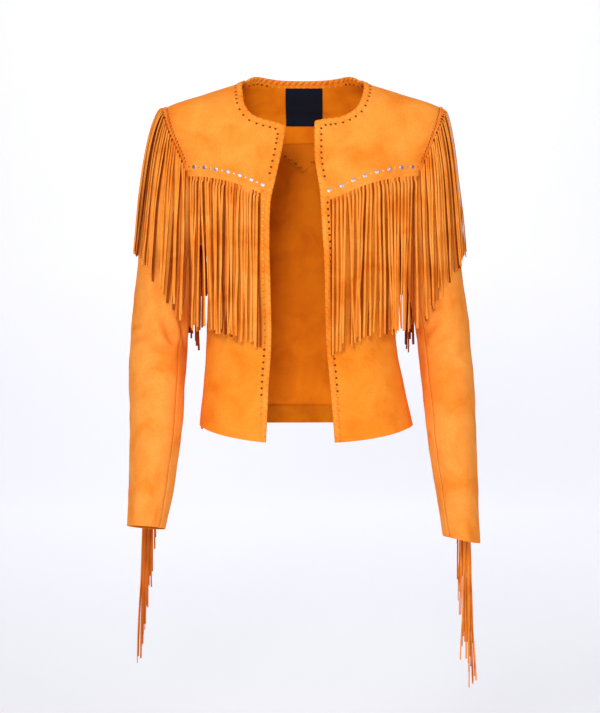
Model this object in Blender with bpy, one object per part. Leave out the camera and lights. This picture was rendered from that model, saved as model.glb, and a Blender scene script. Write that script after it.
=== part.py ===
"""Open-front cropped jacket of soft suede cloth with long fringe, filled out as worn.

Tables and dimensions are in millimetres and are scaled to metres as the meshes are made.
The jacket faces -Y, +Z is up, and the origin lies at the middle of the neck at the height
of the shoulders. "right" and "left" are the wearer's own, so the right side lies at -X.

The body of the jacket is one smooth surface, given by an angle round the body (zero at the
centre front, a quarter turn at the side seam) and a height. Each panel is a grid between
four edges drawn on that surface. The sleeves are rings that start at the armhole edge.
"""

import math

import bpy
import bmesh
from mathutils import Vector
from mathutils.bvhtree import BVHTree

MM = 0.001
DOWN = Vector((0.0, 0.0, -1.0))
QUARTER = math.pi / 2
RIGHT = -1
LEFT = 1
SIDE_NAMES = {RIGHT: "right", LEFT: "left"}

# Cloth and seams
WALL = 1.5
SEAM_GAP = 0.3
LAYER_GAP = 0.4
LACE_RADIUS = 1.7
LACE_SIDES = 6
EDGE_INSET = 2 * LACE_RADIUS + 0.6
CURVE_STEPS = 8
LIKE_FACING = 0.6

# Fringe: one cut strip whose lower part is slit into strands
FRINGE_LENGTH = 230.0
FRINGE_THICK = 1.2
STRAND_WIDTH = 3.2
STRAND_CLEAR = 2.7
STRAND_SHARE = 0.66
FALL_STEP = 4.0
NEARBY = 25.0
PATH_TOLERANCE = 1.6
CHEST_STRIP = 13.0
BACK_STRIP = 13.0
ARMHOLE_STRIP = 2.5
ARMHOLE_STRIP_LIFTS = (0.5, 1.3)
ARMHOLE_CLEAR = 3.9
SLEEVE_STRIP = 4.0
CHEST_STRANDS = 27
BACK_STRANDS = 36
ARMHOLE_FRONT_STRANDS = 14
ARMHOLE_BACK_STRANDS = 14
SLEEVE_STRANDS = 14
CHEST_START = {RIGHT: 51.0, LEFT: 33.0}
CHEST_END = 157.0
BACK_FRINGE_REACH = 163.0
ARMHOLE_FRINGE_TURNS = (-120, 88)

# Body of the jacket, from the neck down over the shoulder slope to the hem
SQUARENESS = 2.35
BODY_SECTIONS = (
    # height, half width, front depth, back depth
    (22, 75, 38, 50),
    (10, 81, 42, 55),
    (3, 87, 44, 58),
    (-1, 102, 47, 60),
    (-6, 125, 50, 63),
    (-13, 148, 55, 67),
    (-21, 171, 61, 71),
    (-26, 183, 64, 73),
    (-34, 196, 69, 78),
    (-62, 204, 82, 88),
    (-112, 192, 98, 99),
    (-150, 175, 107, 104),
    (-190, 155, 113, 105),
    (-219, 141, 115, 103),
    (-300, 136, 110, 94),
    (-360, 138, 105, 90),
    (-430, 144, 105, 95),
    (-512, 152, 109, 103),
)

# Armhole edge: half width of the body surface that it follows, front and back
ARMHOLE_TOP = -34.0
ARMHOLE_BOTTOM = -219.0
ARMHOLE_STEP = math.radians(10)
ARMHOLE_FRONT = (
    # height, distance from the middle
    (-34, 196),
    (-62, 188),
    (-85, 177),
    (-112, 165),
    (-150, 155),
    (-190, 147),
    (-219, 141),
)
ARMHOLE_BACK = (
    # height, distance from the middle
    (-34, 196),
    (-62, 193),
    (-90, 186),
    (-120, 176),
    (-160, 161),
    (-195, 149),
    (-219, 141),
)
FRONT_YOKE_TURN = 9
BACK_YOKE_TURN = 6
HALF_TURN_STEPS = 18

# Neckline from the side of the neck to the top corner of each front
NECK_SIDE_X = 84.0
NECK_SIDE_HEIGHT = 8.0
NECK_BACK_HEIGHT = 14.5
NECKLINE = {
    RIGHT: (
        # distance from the middle, height
        (84.0, 8), (86, -4), (84.5, -16), (80.5, -36), (71, -49), (57, -55.5), (40, -60), (23.5, -66),
    ),
    LEFT: (
        # distance from the middle, height
        (84.0, 8), (86, -4), (83.5, -18), (76, -37), (66, -46), (51, -53), (30, -56), (15.5, -59),
    ),
}

# Edge of each front below the neckline
FRONT_EDGE = {
    RIGHT: (
        # height, distance from the middle
        (-66, 23.5), (-104, 30), (-143, 38.5), (-175, 45), (-215, 46.5),
        (-300, 45), (-363, 44), (-430, 48), (-506, 51.5),
    ),
    LEFT: (
        # height, distance from the middle
        (-59, 15.5), (-104, 15.5), (-130, 18.5), (-155, 22.5), (-200, 25.5),
        (-253, 29), (-363, 32), (-430, 38), (-506, 44),
    ),
}

# Lower edge of the front yokes and of the pointed back yoke
FRONT_YOKE_LINE = (
    # distance from the middle, height
    (15, -170), (36, -163), (54, -155.5), (75, -146), (105, -136), (133, -130), (175, -126),
)
BACK_YOKE_LINE = (
    # distance from the middle, height
    (0, -120), (15, -108.5), (32, -98), (60, -88.5), (100, -82.5), (140, -80.5), (195, -80),
)

# Hem and side seam
HEM_SIDE = -492.0
HEM_FRONT_DROP = 10.0
HEM_BACK_DROP = 1.0
SIDE_SEAM_AT_HEM = math.radians(74)

# Columns and rows of the panels
SHOULDER_COLUMNS = 4
NECK_BACK_COLUMNS = 8
FRONT_COLUMNS = 8
NECKLINE_ROWS = 5
SIDE_ROWS = 10
FRONT_EDGE_UPPER = -250.0

# Sleeves, from the first full ring under the arm to the cuff
SLEEVE_SECTIONS = (
    # height, distance from the middle, forward (-) or back (+), half width, half depth, forward lean
    (-238, 194.0, 2, 42.5, 61, 0.00),
    (-290, 199.0, 4, 42.5, 59, 0.00),
    (-353, 206.0, 3, 41.5, 56, 0.06),
    (-410, 208.5, -4, 40.5, 53, 0.16),
    (-480, 209.0, -19, 38.0, 50, 0.22),
    (-560, 213.0, -38, 33.0, 46, 0.23),
    (-629, 218.5, -55, 27.0, 42, 0.23),
)
SLEEVE_HEIGHTS = (-238, -280, -315, -338, -356, -376, -400, -440, -500, -565, -629)
CAP_PLACES = (0.0, 0.14, 0.36, 0.64)
CAP_OUTWARD = (0.35, 1.0)
CAP_FORWARD = 0.35
CAP_DOWNWARD = (-0.95, -0.28)
CAP_LEAVE = (0.9, 0.34)
CAP_ARRIVE = 1.05
MM_PER_DEGREE = 0.85
SLEEVE_WIDTH_FACTOR = {RIGHT: 1.0, LEFT: 0.94}
SLEEVE_CUFF_DROP = {RIGHT: 0.0, LEFT: 10.0}
FRONT_SEAM_TURN = 14
BACK_SEAM_TURN = 28
FULL_TURN_STEPS = 36
BACK_SEAM_SHIFT = {
    # degrees that the back seam has moved at the elbow and at the cuff
    RIGHT: (-8, 10),
    LEFT: (8, 20),
}
SLEEVE_FOLDS = {
    RIGHT: (
        # start turn, start height, end turn, end height, depth, width
        (66, -246, 104, -342, 3.0, 15),
        (104, -342, 142, -380, 3.0, 14),
        (50, -362, 100, -366, 2.0, 12),
    ),
    LEFT: (
        # start turn, start height, end turn, end height, depth, width
        (70, -352, 138, -384, 3.0, 10),
        (95, -330, 142, -350, 2.5, 9),
    ),
}
SLEEVE_FRINGE_TOP = {RIGHT: -382.0, LEFT: -392.0}
SLEEVE_FRINGE_BOTTOM = {RIGHT: -604.0, LEFT: -612.0}

# Pieces that show inside the open front
FACING_ROWS = 4
LINING_GAP = 0.9
LABEL_ROWS = 4
INNER_WALL = 1.2
LABEL_HALF_WIDTH = 27.5
LABEL_TOP = 1.0
LABEL_BOTTOM = -50.0
LABEL_THICK = 0.8

COLOURS = {
    # sRGB colours of the cloth, of its inner side and of the label
    "suede": (0.99, 0.57, 0.15),
    "yoke": (1.0, 0.63, 0.22),
    "inside": (0.80, 0.41, 0.05),
    "label": (0.03, 0.035, 0.06),
}


def profile(rows, column, at):
    """Smooth value of a table's column at a place in its first column, without overshoot."""
    if rows[0][0] > rows[-1][0]:
        rows = rows[::-1]
    if at <= rows[0][0]:
        return float(rows[0][column])
    if at >= rows[-1][0]:
        return float(rows[-1][column])
    last = len(rows) - 1
    slopes = [
        (rows[k + 1][column] - rows[k][column]) / (rows[k + 1][0] - rows[k][0])
        for k in range(last)
    ]

    def tangent(k):
        if k in (0, last):
            return slopes[0] if k == 0 else slopes[-1]
        before, after = slopes[k - 1], slopes[k]
        return 2 * before * after / (before + after) if before * after > 0 else 0.0

    k = max(i for i in range(last) if rows[i][0] <= at)
    span = rows[k + 1][0] - rows[k][0]
    u = (at - rows[k][0]) / span
    return (
        rows[k][column] * (1 + 2 * u) * (1 - u) ** 2
        + tangent(k) * span * u * (1 - u) ** 2
        + rows[k + 1][column] * u * u * (3 - 2 * u)
        + tangent(k + 1) * span * u * u * (u - 1)
    )


def mix(a, b, share):
    return a + (b - a) * share


def signed_power(value, exponent):
    return math.copysign(abs(value) ** exponent, value)


def surface_normal(surface, first, second, steps):
    """Unit normal of a surface of two parameters, from small steps to both sides."""
    a, b = steps
    along = surface(first + a, second) - surface(first - a, second)
    across = surface(first, second + b) - surface(first, second - b)
    return along.cross(across).normalized()


def body_point(angle, z):
    """Point of the jacket's outer surface at an angle round the body and a height."""
    depth_column = 2 if math.cos(angle) > 0 else 3
    x = profile(BODY_SECTIONS, 1, z) * signed_power(math.sin(angle), 2 / SQUARENESS)
    y = -profile(BODY_SECTIONS, depth_column, z) * signed_power(math.cos(angle), 2 / SQUARENESS)
    return Vector((x, y, z))


def body_normal(angle, z):
    return surface_normal(body_point, angle, z, (0.01, 0.6))


def body_angle(side, x, z, front):
    """Angle round the body of the point at distance x from the middle."""
    ratio = min(1.0, abs(x) / profile(BODY_SECTIONS, 1, z))
    angle = math.asin(ratio ** (SQUARENESS / 2))
    return side * (angle if front else math.pi - angle)


def shoulder_height(x):
    """Height of the shoulder line at distance x from the middle."""
    low, high = ARMHOLE_TOP, NECK_SIDE_HEIGHT
    for _ in range(30):
        middle = (low + high) / 2
        if profile(BODY_SECTIONS, 1, middle) > x:
            low = middle
        else:
            high = middle
    return high


def hem_height(angle):
    towards_front = math.cos(angle)
    drop = HEM_FRONT_DROP if towards_front > 0 else HEM_BACK_DROP
    return HEM_SIDE - drop * towards_front ** 2


def armhole(side, step):
    """Angle and height of the armhole edge; steps run from the tip over the front."""
    front = step <= HALF_TURN_STEPS
    turn = step * ARMHOLE_STEP
    middle = (ARMHOLE_TOP + ARMHOLE_BOTTOM) / 2
    z = middle + (ARMHOLE_TOP - middle) * math.cos(turn)
    x = profile(ARMHOLE_FRONT if front else ARMHOLE_BACK, 1, z)
    return body_angle(side, x, z, front), z


def fill(top, bottom, left, right, by_height=False):
    """Grid of places between four edges that meet at their corners."""
    rows, columns = len(left) - 1, len(top) - 1
    grid = []
    for i in range(rows + 1):
        t = i / rows
        if by_height:
            shares = [(edge[i][1] - edge[0][1]) / (edge[-1][1] - edge[0][1]) for edge in (left, right)]
            t = sum(shares) / 2
        row = []
        for j in range(columns + 1):
            s = j / columns
            row.append([
                mix(top[j][k], bottom[j][k], t) + mix(left[i][k], right[i][k], s)
                - mix(mix(top[0][k], top[-1][k], s), mix(bottom[0][k], bottom[-1][k], s), t)
                for k in (0, 1)
            ])
        grid.append(row)
    return grid


def trimmed(grid, left=0.0, right=0.0, top=0.0, bottom=0.0):
    """Copy of a grid of points whose outer rows are moved inwards by the given amounts."""
    result = [[point.copy() for point in row] for row in grid]
    flipped = [list(line) for line in zip(*grid)]
    for index, inner, amount in ((0, 1, left), (-1, -2, right)):
        for i, step in enumerate(inward(flipped[index], flipped[inner])):
            result[i][index] += step * amount
    for index, inner, amount in ((0, 1, top), (-1, -2, bottom)):
        for j, step in enumerate(inward(grid[index], grid[inner])):
            result[index][j] += step * amount
    return result


def inward(edge, inner):
    """Steps from an edge towards the next line of points that cross the edge by one unit."""
    steps = []
    last = len(edge) - 1
    for k, (point, neighbour) in enumerate(zip(edge, inner)):
        along = (edge[min(last, k + 1)] - edge[max(0, k - 1)]).normalized()
        step = (neighbour - point).normalized()
        steps.append(step / max(0.4, (step - along * step.dot(along)).length))
    return steps


def material(name, colour_name, roughness=0.9):
    """Cloth or label material in one of the named colours."""
    made = bpy.data.materials.new(name)
    made.use_nodes = True
    shader = made.node_tree.nodes["Principled BSDF"]
    linear = [channel ** 2.2 for channel in COLOURS[colour_name]]
    shader.inputs["Base Color"].default_value = (*linear, 1.0)
    shader.inputs["Roughness"].default_value = roughness
    shader.inputs["Metallic"].default_value = 0.0
    return made


def add_solid(name, points, faces, colour_name):
    """Object made of points in millimetres, with its faces turned outwards."""
    mesh = bpy.data.meshes.new(name)
    mesh.from_pydata([point * MM for point in points], [], faces)
    work = bmesh.new()
    work.from_mesh(mesh)
    bmesh.ops.recalc_face_normals(work, faces=work.faces)
    work.to_mesh(mesh)
    work.free()
    mesh.shade_smooth()
    mesh.set_sharp_from_angle(angle=math.radians(40))
    mesh.materials.append(material(name, colour_name))
    made = bpy.data.objects.new(name, mesh)
    bpy.context.scene.collection.objects.link(made)
    return made


def add_wall(name, outer, inner, colour_name):
    """Closed piece of cloth between an outer and an inner grid of points."""
    rows, columns = len(outer), len(outer[0])
    points = [point for grid in (outer, inner) for row in grid for point in row]
    offset = rows * columns
    faces = []
    for i in range(rows - 1):
        for j in range(columns - 1):
            a = i * columns + j
            for half in ((a, a + 1, a + columns + 1), (a, a + columns + 1, a + columns)):
                faces.append(half)
                faces.append(tuple(offset + k for k in reversed(half)))
    rim = [j for j in range(columns)]
    rim += [i * columns + columns - 1 for i in range(1, rows)]
    rim += [(rows - 1) * columns + j for j in range(columns - 2, -1, -1)]
    rim += [i * columns for i in range(rows - 2, 0, -1)]
    for a, b in zip(rim, rim[1:] + rim[:1]):
        faces.append((a, b, offset + b, offset + a))
    return add_solid(name, points, faces, colour_name)


def shifted(points, normals, distance):
    """Grid of points moved along its normals."""
    return [
        [p + n * distance for p, n in zip(point_row, normal_row)]
        for point_row, normal_row in zip(points, normals)
    ]


# Body panels


def spread(line, count):
    """Points at even distances along a line of two-column points."""
    lengths = [0.0]
    for a, b in zip(line, line[1:]):
        lengths.append(lengths[-1] + math.dist(a, b))
    result = []
    for k in range(count + 1):
        target = lengths[-1] * k / count
        i = min(len(line) - 2, max(j for j in range(len(line)) if lengths[j] <= target + 1e-9))
        share = (target - lengths[i]) / (lengths[i + 1] - lengths[i])
        result.append(tuple(mix(a, b, min(1.0, share)) for a, b in zip(line[i], line[i + 1])))
    return result


def neckline(side, inset):
    """Front neckline as distances and heights, moved into the cloth by an inset."""
    rows = NECKLINE[side]
    dense = []
    for k in range(len(rows) - 1):
        before = rows[max(0, k - 1)]
        after = rows[min(len(rows) - 1, k + 2)]
        for i in range(CURVE_STEPS):
            dense.append(blend_four(before, rows[k], rows[k + 1], after, i / CURVE_STEPS))
    dense.append(rows[-1])
    moved = []
    for k, (x, z) in enumerate(dense):
        before, after = dense[max(0, k - 1)], dense[min(len(dense) - 1, k + 1)]
        run, fall_off = after[0] - before[0], after[1] - before[1]
        length = math.hypot(run, fall_off)
        moved.append((x - fall_off / length * inset, z + run / length * inset))
    corner = rows[-1][1] - inset
    moved[-1] = (profile(FRONT_EDGE[side], 1, corner) + inset, corner)
    start = NECK_SIDE_X + inset
    moved[0] = (start, shoulder_height(start))
    return [(side * x, z) for x, z in spread(moved, NECKLINE_ROWS)]


def front_edge_line(side, heights, inset):
    """Front edge as distances and heights, moved into the cloth by an inset."""
    return [(side * (profile(FRONT_EDGE[side], 1, z) + inset), z) for z in heights]


def yoke_edge_heights(side, inset):
    corner = NECKLINE[side][-1][1] - inset
    rows = FRONT_YOKE_TURN - NECKLINE_ROWS
    return [mix(corner, yoke_corner_height(side), k / rows) for k in range(1, rows + 1)]


def lower_edge_heights(side):
    upper_rows = HALF_TURN_STEPS - FRONT_YOKE_TURN
    start = yoke_corner_height(side)
    end = hem_height(body_angle(side, profile(FRONT_EDGE[side], 1, HEM_SIDE), HEM_SIDE, True))
    heights = [mix(start, FRONT_EDGE_UPPER, k / upper_rows) for k in range(upper_rows)]
    return heights + [mix(FRONT_EDGE_UPPER, end, k / SIDE_ROWS) for k in range(SIDE_ROWS + 1)]


def back_neckline(inset):
    """Back neckline as distances and heights, from the left side of the neck to the right."""
    line = []
    start = NECK_SIDE_X + inset
    side_height = shoulder_height(start)
    for k in range(NECK_BACK_COLUMNS + 1):
        angle = mix(QUARTER, 3 * QUARTER, k / NECK_BACK_COLUMNS)
        z = mix(side_height, NECK_BACK_HEIGHT - inset, math.cos(angle) ** 2)
        line.append((body_point(angle, z).x, z))
    line[0], line[-1] = (start, side_height), (-start, side_height)
    return line


def blend_four(p0, p1, p2, p3, u):
    """Point between the second and third of four, on a smooth curve through them."""
    return tuple(
        0.5 * (2 * b + (c - a) * u + (2 * a - 5 * b + 4 * c - d) * u * u
               + (3 * b - a - 3 * c + d) * u ** 3)
        for a, b, c, d in zip(p0, p1, p2, p3)
    )


def yoke_corner_height(side):
    """Height at which the front yoke's lower edge meets the front edge."""
    z = FRONT_YOKE_LINE[0][1]
    for _ in range(8):
        z = profile(FRONT_YOKE_LINE, 1, profile(FRONT_EDGE[side], 1, z))
    return z


def front_yoke_line(side):
    """Lower edge of a front yoke as distances and heights, from the front edge to the armhole."""
    corner = yoke_corner_height(side)
    first = profile(FRONT_EDGE[side], 1, corner) + EDGE_INSET
    end_angle, end = armhole(side, FRONT_YOKE_TURN)
    last = abs(body_point(end_angle, end).x)
    line = []
    for k in range(FRONT_COLUMNS + 1):
        x = mix(first, last, k / FRONT_COLUMNS)
        line.append((side * x, profile(FRONT_YOKE_LINE, 1, x)))
    line[-1] = (side * last, end)
    return line


def back_yoke_line():
    """Lower edge of the back yoke as distances and heights, from the left armhole to the right."""
    columns = 2 * SHOULDER_COLUMNS + NECK_BACK_COLUMNS
    _, end = armhole(LEFT, FULL_TURN_STEPS - BACK_YOKE_TURN)
    last = profile(ARMHOLE_BACK, 1, end)
    line = []
    for k in range(columns + 1):
        x = mix(last, -last, k / columns)
        line.append((x, profile(BACK_YOKE_LINE, 1, abs(x))))
    line[0], line[-1] = (last, end), (-last, end)
    return line


def as_places(line, front):
    """Angles and heights of points given as distances from the middle and heights."""
    places = []
    for x, z in line:
        side = LEFT if x >= 0 else RIGHT
        angle = body_angle(side, x, z, front)
        places.append((angle + (2 * math.pi if side == RIGHT and not front else 0.0), z))
    return places


def side_seam(side):
    """Side seam from under the arm to the hem."""
    end = hem_height(SIDE_SEAM_AT_HEM)
    return [
        (side * mix(QUARTER, SIDE_SEAM_AT_HEM, k / SIDE_ROWS), mix(ARMHOLE_BOTTOM, end, k / SIDE_ROWS))
        for k in range(SIDE_ROWS + 1)
    ]


def on_body(places):
    """Points and normals of a grid of places on the body."""
    points = [[body_point(angle, z) for angle, z in row] for row in places]
    normals = [[body_normal(angle, z) for angle, z in row] for row in places]
    return points, normals


def armhole_line(side, steps):
    """Armhole edge as distances and heights."""
    places = [armhole(side, step) for step in steps]
    return [(body_point(*place).x, place[1]) for place in places]


def shoulder_line(side, count):
    """Shoulder seam as distances and heights, from the neck to the tip."""
    start = NECK_SIDE_X + EDGE_INSET
    distances = [mix(start, ARMHOLE_FRONT[0][1], k / count) for k in range(count + 1)]
    return [(side * x, shoulder_height(x)) for x in distances]


def front_yoke_places(side):
    top = shoulder_line(side, FRONT_COLUMNS)
    left = neckline(side, EDGE_INSET)
    left += front_edge_line(side, yoke_edge_heights(side, EDGE_INSET), EDGE_INSET)
    left[0] = top[0]
    right = armhole_line(side, range(FRONT_YOKE_TURN + 1))
    grid = [as_places(row, True) for row in fill(top, front_yoke_line(side), left, right)]
    grid[0] = [(side * QUARTER, z) for _, z in grid[0]]
    return grid


def front_places(side):
    top = as_places(front_yoke_line(side), True)
    left = as_places(front_edge_line(side, lower_edge_heights(side), EDGE_INSET), True)
    right = [armhole(side, k) for k in range(FRONT_YOKE_TURN, HALF_TURN_STEPS)] + side_seam(side)
    corner_angle = left[-1][0]
    bottom = []
    for k in range(FRONT_COLUMNS + 1):
        angle = mix(corner_angle, side * SIDE_SEAM_AT_HEM, k / FRONT_COLUMNS)
        bottom.append((angle, hem_height(angle)))
    return fill(top, bottom, left, right, by_height=True)


def back_yoke_places():
    seam = shoulder_line(LEFT, SHOULDER_COLUMNS)
    neck = back_neckline(EDGE_INSET)
    top = seam[::-1] + neck[1:-1] + [(-x, z) for x, z in seam]
    steps = range(FULL_TURN_STEPS, FULL_TURN_STEPS - BACK_YOKE_TURN - 1, -1)
    left, right = armhole_line(LEFT, steps), armhole_line(RIGHT, steps)
    left[0], right[0] = top[0], top[-1]
    grid = [as_places(row, False) for row in fill(top, back_yoke_line(), left, right)]
    for k in range(SHOULDER_COLUMNS + 1):
        grid[0][k] = (QUARTER, grid[0][k][1])
        grid[0][-1 - k] = (3 * QUARTER, grid[0][-1 - k][1])
    return grid


def back_places():
    top = as_places(back_yoke_line(), False)
    steps = range(FULL_TURN_STEPS - BACK_YOKE_TURN, HALF_TURN_STEPS, -1)
    left = [armhole(LEFT, k) for k in steps] + side_seam(LEFT)
    right = [armhole(RIGHT, k) for k in steps] + side_seam(RIGHT)
    right = [(2 * math.pi + a, z) for a, z in right]
    columns = len(top) - 1
    bottom = []
    for k in range(columns + 1):
        angle = mix(SIDE_SEAM_AT_HEM, 2 * math.pi - SIDE_SEAM_AT_HEM, k / columns)
        bottom.append((angle, hem_height(angle)))
    return fill(top, bottom, left, right, by_height=True)


# Sleeves


def arm_value(side, z, column):
    value = profile(SLEEVE_SECTIONS, column, z)
    return value * SLEEVE_WIDTH_FACTOR[side] if column == 3 else value


def arm_share(z):
    """How far down the arm a height lies, from zero at the first full ring to one at the cuff."""
    return (z - SLEEVE_SECTIONS[0][0]) / (SLEEVE_SECTIONS[-1][0] - SLEEVE_SECTIONS[0][0])


def fold_depth(side, turn, z):
    """How far the folds of a sleeve press its surface in."""
    total = 0.0
    here = Vector((math.degrees(turn) % 360 * MM_PER_DEGREE, z))
    for start_turn, start_z, end_turn, end_z, depth, width in SLEEVE_FOLDS[side]:
        start = Vector((start_turn * MM_PER_DEGREE, start_z))
        run = Vector((end_turn * MM_PER_DEGREE, end_z)) - start
        share = min(1.0, max(0.0, (here - start).dot(run) / run.length_squared))
        away = (here - start - run * share).length
        total += depth * math.exp(-(away / width) ** 2)
    return total


def arm_point(side, turn, z):
    """Point on the sleeve below the arm, on a ring that leans with the forearm."""
    pressed = fold_depth(side, turn, z)
    half_width = arm_value(side, z, 3) - pressed
    half_depth = arm_value(side, z, 4) - pressed
    x = arm_value(side, z, 1) + half_width * math.cos(turn)
    back = -half_depth * math.sin(turn)
    height = z - arm_value(side, z, 5) * back - SLEEVE_CUFF_DROP[side] * max(0.0, arm_share(z))
    return Vector((side * x, arm_value(side, z, 2) + back, height))


def armhole_point(side, turn):
    """Point and body normal of the armhole edge at a turn that may lie between two steps."""
    step = turn / ARMHOLE_STEP % FULL_TURN_STEPS
    angle, z = armhole(side, step)
    return body_point(angle, z), body_normal(angle, z)


def cap_start(side, turn):
    """Where the sleeve leaves the armhole, and in which direction."""
    edge, normal = armhole_point(side, turn)
    upward = 0.5 + 0.5 * math.cos(turn)
    direction = Vector((
        side * mix(*CAP_OUTWARD, upward),
        -CAP_FORWARD * math.sin(turn),
        mix(*CAP_DOWNWARD, upward),
    )).normalized()
    start = edge + (direction + normal).normalized() * LAYER_GAP
    return start, direction


def sleeve_point(side, turn, place):
    """Point on a sleeve; place runs over the cap from 0 to 1 and then down the arm to 2."""
    first = SLEEVE_SECTIONS[0][0]
    if place >= 1:
        return arm_point(side, turn, mix(first, SLEEVE_SECTIONS[-1][0], place - 1))
    start, direction = cap_start(side, turn)
    end = arm_point(side, turn, first)
    down = (arm_point(side, turn, first - 4) - end).normalized()
    reach = (end - start).length
    upward = 0.5 + 0.5 * math.cos(turn)
    leave = direction * reach * mix(*CAP_LEAVE, upward)
    arrive = down * reach * CAP_ARRIVE
    u = place
    return (
        start * ((1 + 2 * u) * (1 - u) ** 2) + leave * (u * (1 - u) ** 2)
        + end * (u * u * (3 - 2 * u)) + arrive * (u * u * (u - 1))
    )


def sleeve_normal(side, turn, place):
    """Outward normal of a sleeve's surface."""
    step = 0.01
    low = max(0.06, place - step)
    around = sleeve_point(side, turn + step, place) - sleeve_point(side, turn - step, place)
    along = sleeve_point(side, turn, min(2.0, low + 2 * step)) - sleeve_point(side, turn, low)
    return (around.cross(along) * side).normalized()


def shared_direction(own, other):
    """Direction through the wall at the armhole, shared by both sides where they face alike."""
    share = min(1.0, max(0.0, own.dot(other) / LIKE_FACING))
    return (own + other * share).normalized()


def sleeve_turn(side, step, place):
    """Turn of a sleeve's column; the back seam wanders from the armhole to the cuff."""
    elbow_shift, cuff_shift = BACK_SEAM_SHIFT[side]
    if place <= 1:
        shift = elbow_shift * place
    else:
        shift = mix(elbow_shift, cuff_shift, place - 1)
    turn = step * ARMHOLE_STEP
    if step <= FRONT_SEAM_TURN:
        steps_from_seam = (step - (BACK_SEAM_TURN - FULL_TURN_STEPS))
        share = 1 - steps_from_seam / (FRONT_SEAM_TURN - BACK_SEAM_TURN + FULL_TURN_STEPS)
    else:
        share = (step - FRONT_SEAM_TURN) / (BACK_SEAM_TURN - FRONT_SEAM_TURN)
    return turn + math.radians(shift) * share


def sleeve_places():
    arm = [1 + arm_share(z) for z in SLEEVE_HEIGHTS]
    return list(CAP_PLACES) + arm


def sleeve_grids(side, first_step, last_step):
    """Outer points and wall directions of one half of a sleeve."""
    points, normals = [], []
    for place in sleeve_places():
        turns = [sleeve_turn(side, step, place) for step in range(first_step, last_step + 1)]
        points.append([sleeve_point(side, turn, place) for turn in turns])
        row = [sleeve_normal(side, turn, place) for turn in turns]
        if place == 0:
            row = [shared_direction(n, armhole_point(side, turn)[1]) for n, turn in zip(row, turns)]
        normals.append(row)
    return points, normals


def share_armhole(side, steps, normals, column):
    """Gives a body panel's column at the armhole the wall directions shared with the sleeve."""
    for row, step in zip(normals, steps):
        turn = step * ARMHOLE_STEP
        row[column] = shared_direction(row[column], sleeve_normal(side, turn, 0.0))


# Fringe


def fall(start, first_step, trees, clearance):
    """Points of a strand that leaves its strip and falls, held off the cloth below it."""
    here = start + first_step
    points = [start, here]
    fallen = first_step.length
    while fallen < FRINGE_LENGTH:
        there = here + DOWN * FALL_STEP
        for tree in trees:
            location, normal, _, distance = tree.find_nearest(there)
            height = (there - location).dot(normal)
            if distance < NEARBY and height < clearance:
                there += normal * (clearance - height)
        fallen += (there - here).length
        points.append(there)
        here = there
    return points


def thinned(points, tolerance):
    """The fewest of a line's points that stay within a tolerance of it."""
    if len(points) < 3:
        return points
    chord = points[-1] - points[0]
    distances = []
    for point in points[1:-1]:
        share = min(1.0, max(0.0, (point - points[0]).dot(chord) / chord.length_squared))
        distances.append((point - points[0] - chord * share).length)
    worst = max(range(len(distances)), key=distances.__getitem__)
    if distances[worst] < tolerance:
        return [points[0], points[-1]]
    k = worst + 1
    return thinned(points[:k + 1], tolerance)[:-1] + thinned(points[k:], tolerance)


def add_fringe(name, stations, trees, clearance=STRAND_CLEAR):
    """Strip with a strand under every second cell.

    A station has the strip's upper and lower edge, the direction through its thickness and
    the direction in which a strand leaves it. Stations come in pairs, one pair a strand.
    """
    points, faces = [], []
    for upper, lower, through, _ in stations:
        depth = through * FRINGE_THICK
        points += [upper, upper + depth, lower + depth, lower]
    count = len(stations)
    for k in range(count - 1):
        a, b = 4 * k, 4 * k + 4
        faces += [(a, a + 1, b + 1, b), (a + 1, a + 2, b + 2, b + 1), (a + 3, a, b, b + 3)]
        if k % 2 == 1:
            faces.append((a + 2, a + 3, b + 3, b + 2))
    faces += [(0, 1, 2, 3), tuple(4 * (count - 1) + k for k in (3, 2, 1, 0))]
    for k in range(0, count, 2):
        (_, low_a, through_a, leave), (_, low_b, through_b, _) = stations[k], stations[k + 1]
        through = (through_a + through_b).normalized()
        start = (low_a + low_b) / 2 + through * FRINGE_THICK / 2
        along = low_b - low_a
        first_step = leave * (FALL_STEP + abs(along.z))
        path = thinned(fall(start, first_step, trees, clearance), PATH_TOLERANCE)
        ring = [4 * k + 3, 4 * k + 7, 4 * k + 6, 4 * k + 2]
        width = Vector((along.x, along.y, 0.0)).normalized()
        facing = width.cross(DOWN)
        if facing.dot(Vector((through.x, through.y, 0.0))) < 0:
            facing = -facing
        for centre in path[1:]:
            half = width * (STRAND_WIDTH / 2)
            rise = facing * (FRINGE_THICK / 2)
            base = len(points)
            points += [centre + corner for corner in (-half - rise, half - rise, half + rise, rise - half)]
            new_ring = [base, base + 1, base + 2, base + 3]
            for a, b, c, d in zip(ring, ring[1:] + ring[:1], new_ring[1:] + new_ring[:1], new_ring):
                faces.append((a, b, c, d))
            ring = new_ring
        faces.append(tuple(reversed(ring)))
    return add_solid(name, points, faces, "suede")


def paired(low, high, count, width_share):
    """Edges of evenly spread strands between two values, as a flat list of pairs."""
    pitch = (high - low) / count
    edges = []
    for k in range(count):
        middle = low + pitch * (k + 0.5)
        edges += [middle - pitch * width_share / 2, middle + pitch * width_share / 2]
    return edges


def yoke_fringe_stations(line, edges, strip, front):
    """Stations of a strip that hangs on the body from a yoke's lower edge."""
    stations = []
    for x in edges:
        side = LEFT if x > 0 else RIGHT
        top = profile(line, 1, abs(x)) - LAYER_GAP
        places = [(body_angle(side, x, z, front), z) for z in (top, top - strip)]
        lifts = (LAYER_GAP, STRAND_CLEAR - FRINGE_THICK / 2)
        upper, lower = [
            body_point(*place) + body_normal(*place) * lift for place, lift in zip(places, lifts)
        ]
        through = body_normal(*places[1])
        through = Vector((through.x, through.y, 0.0)).normalized()
        stations.append((upper, lower, through, DOWN))
    return stations


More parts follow.
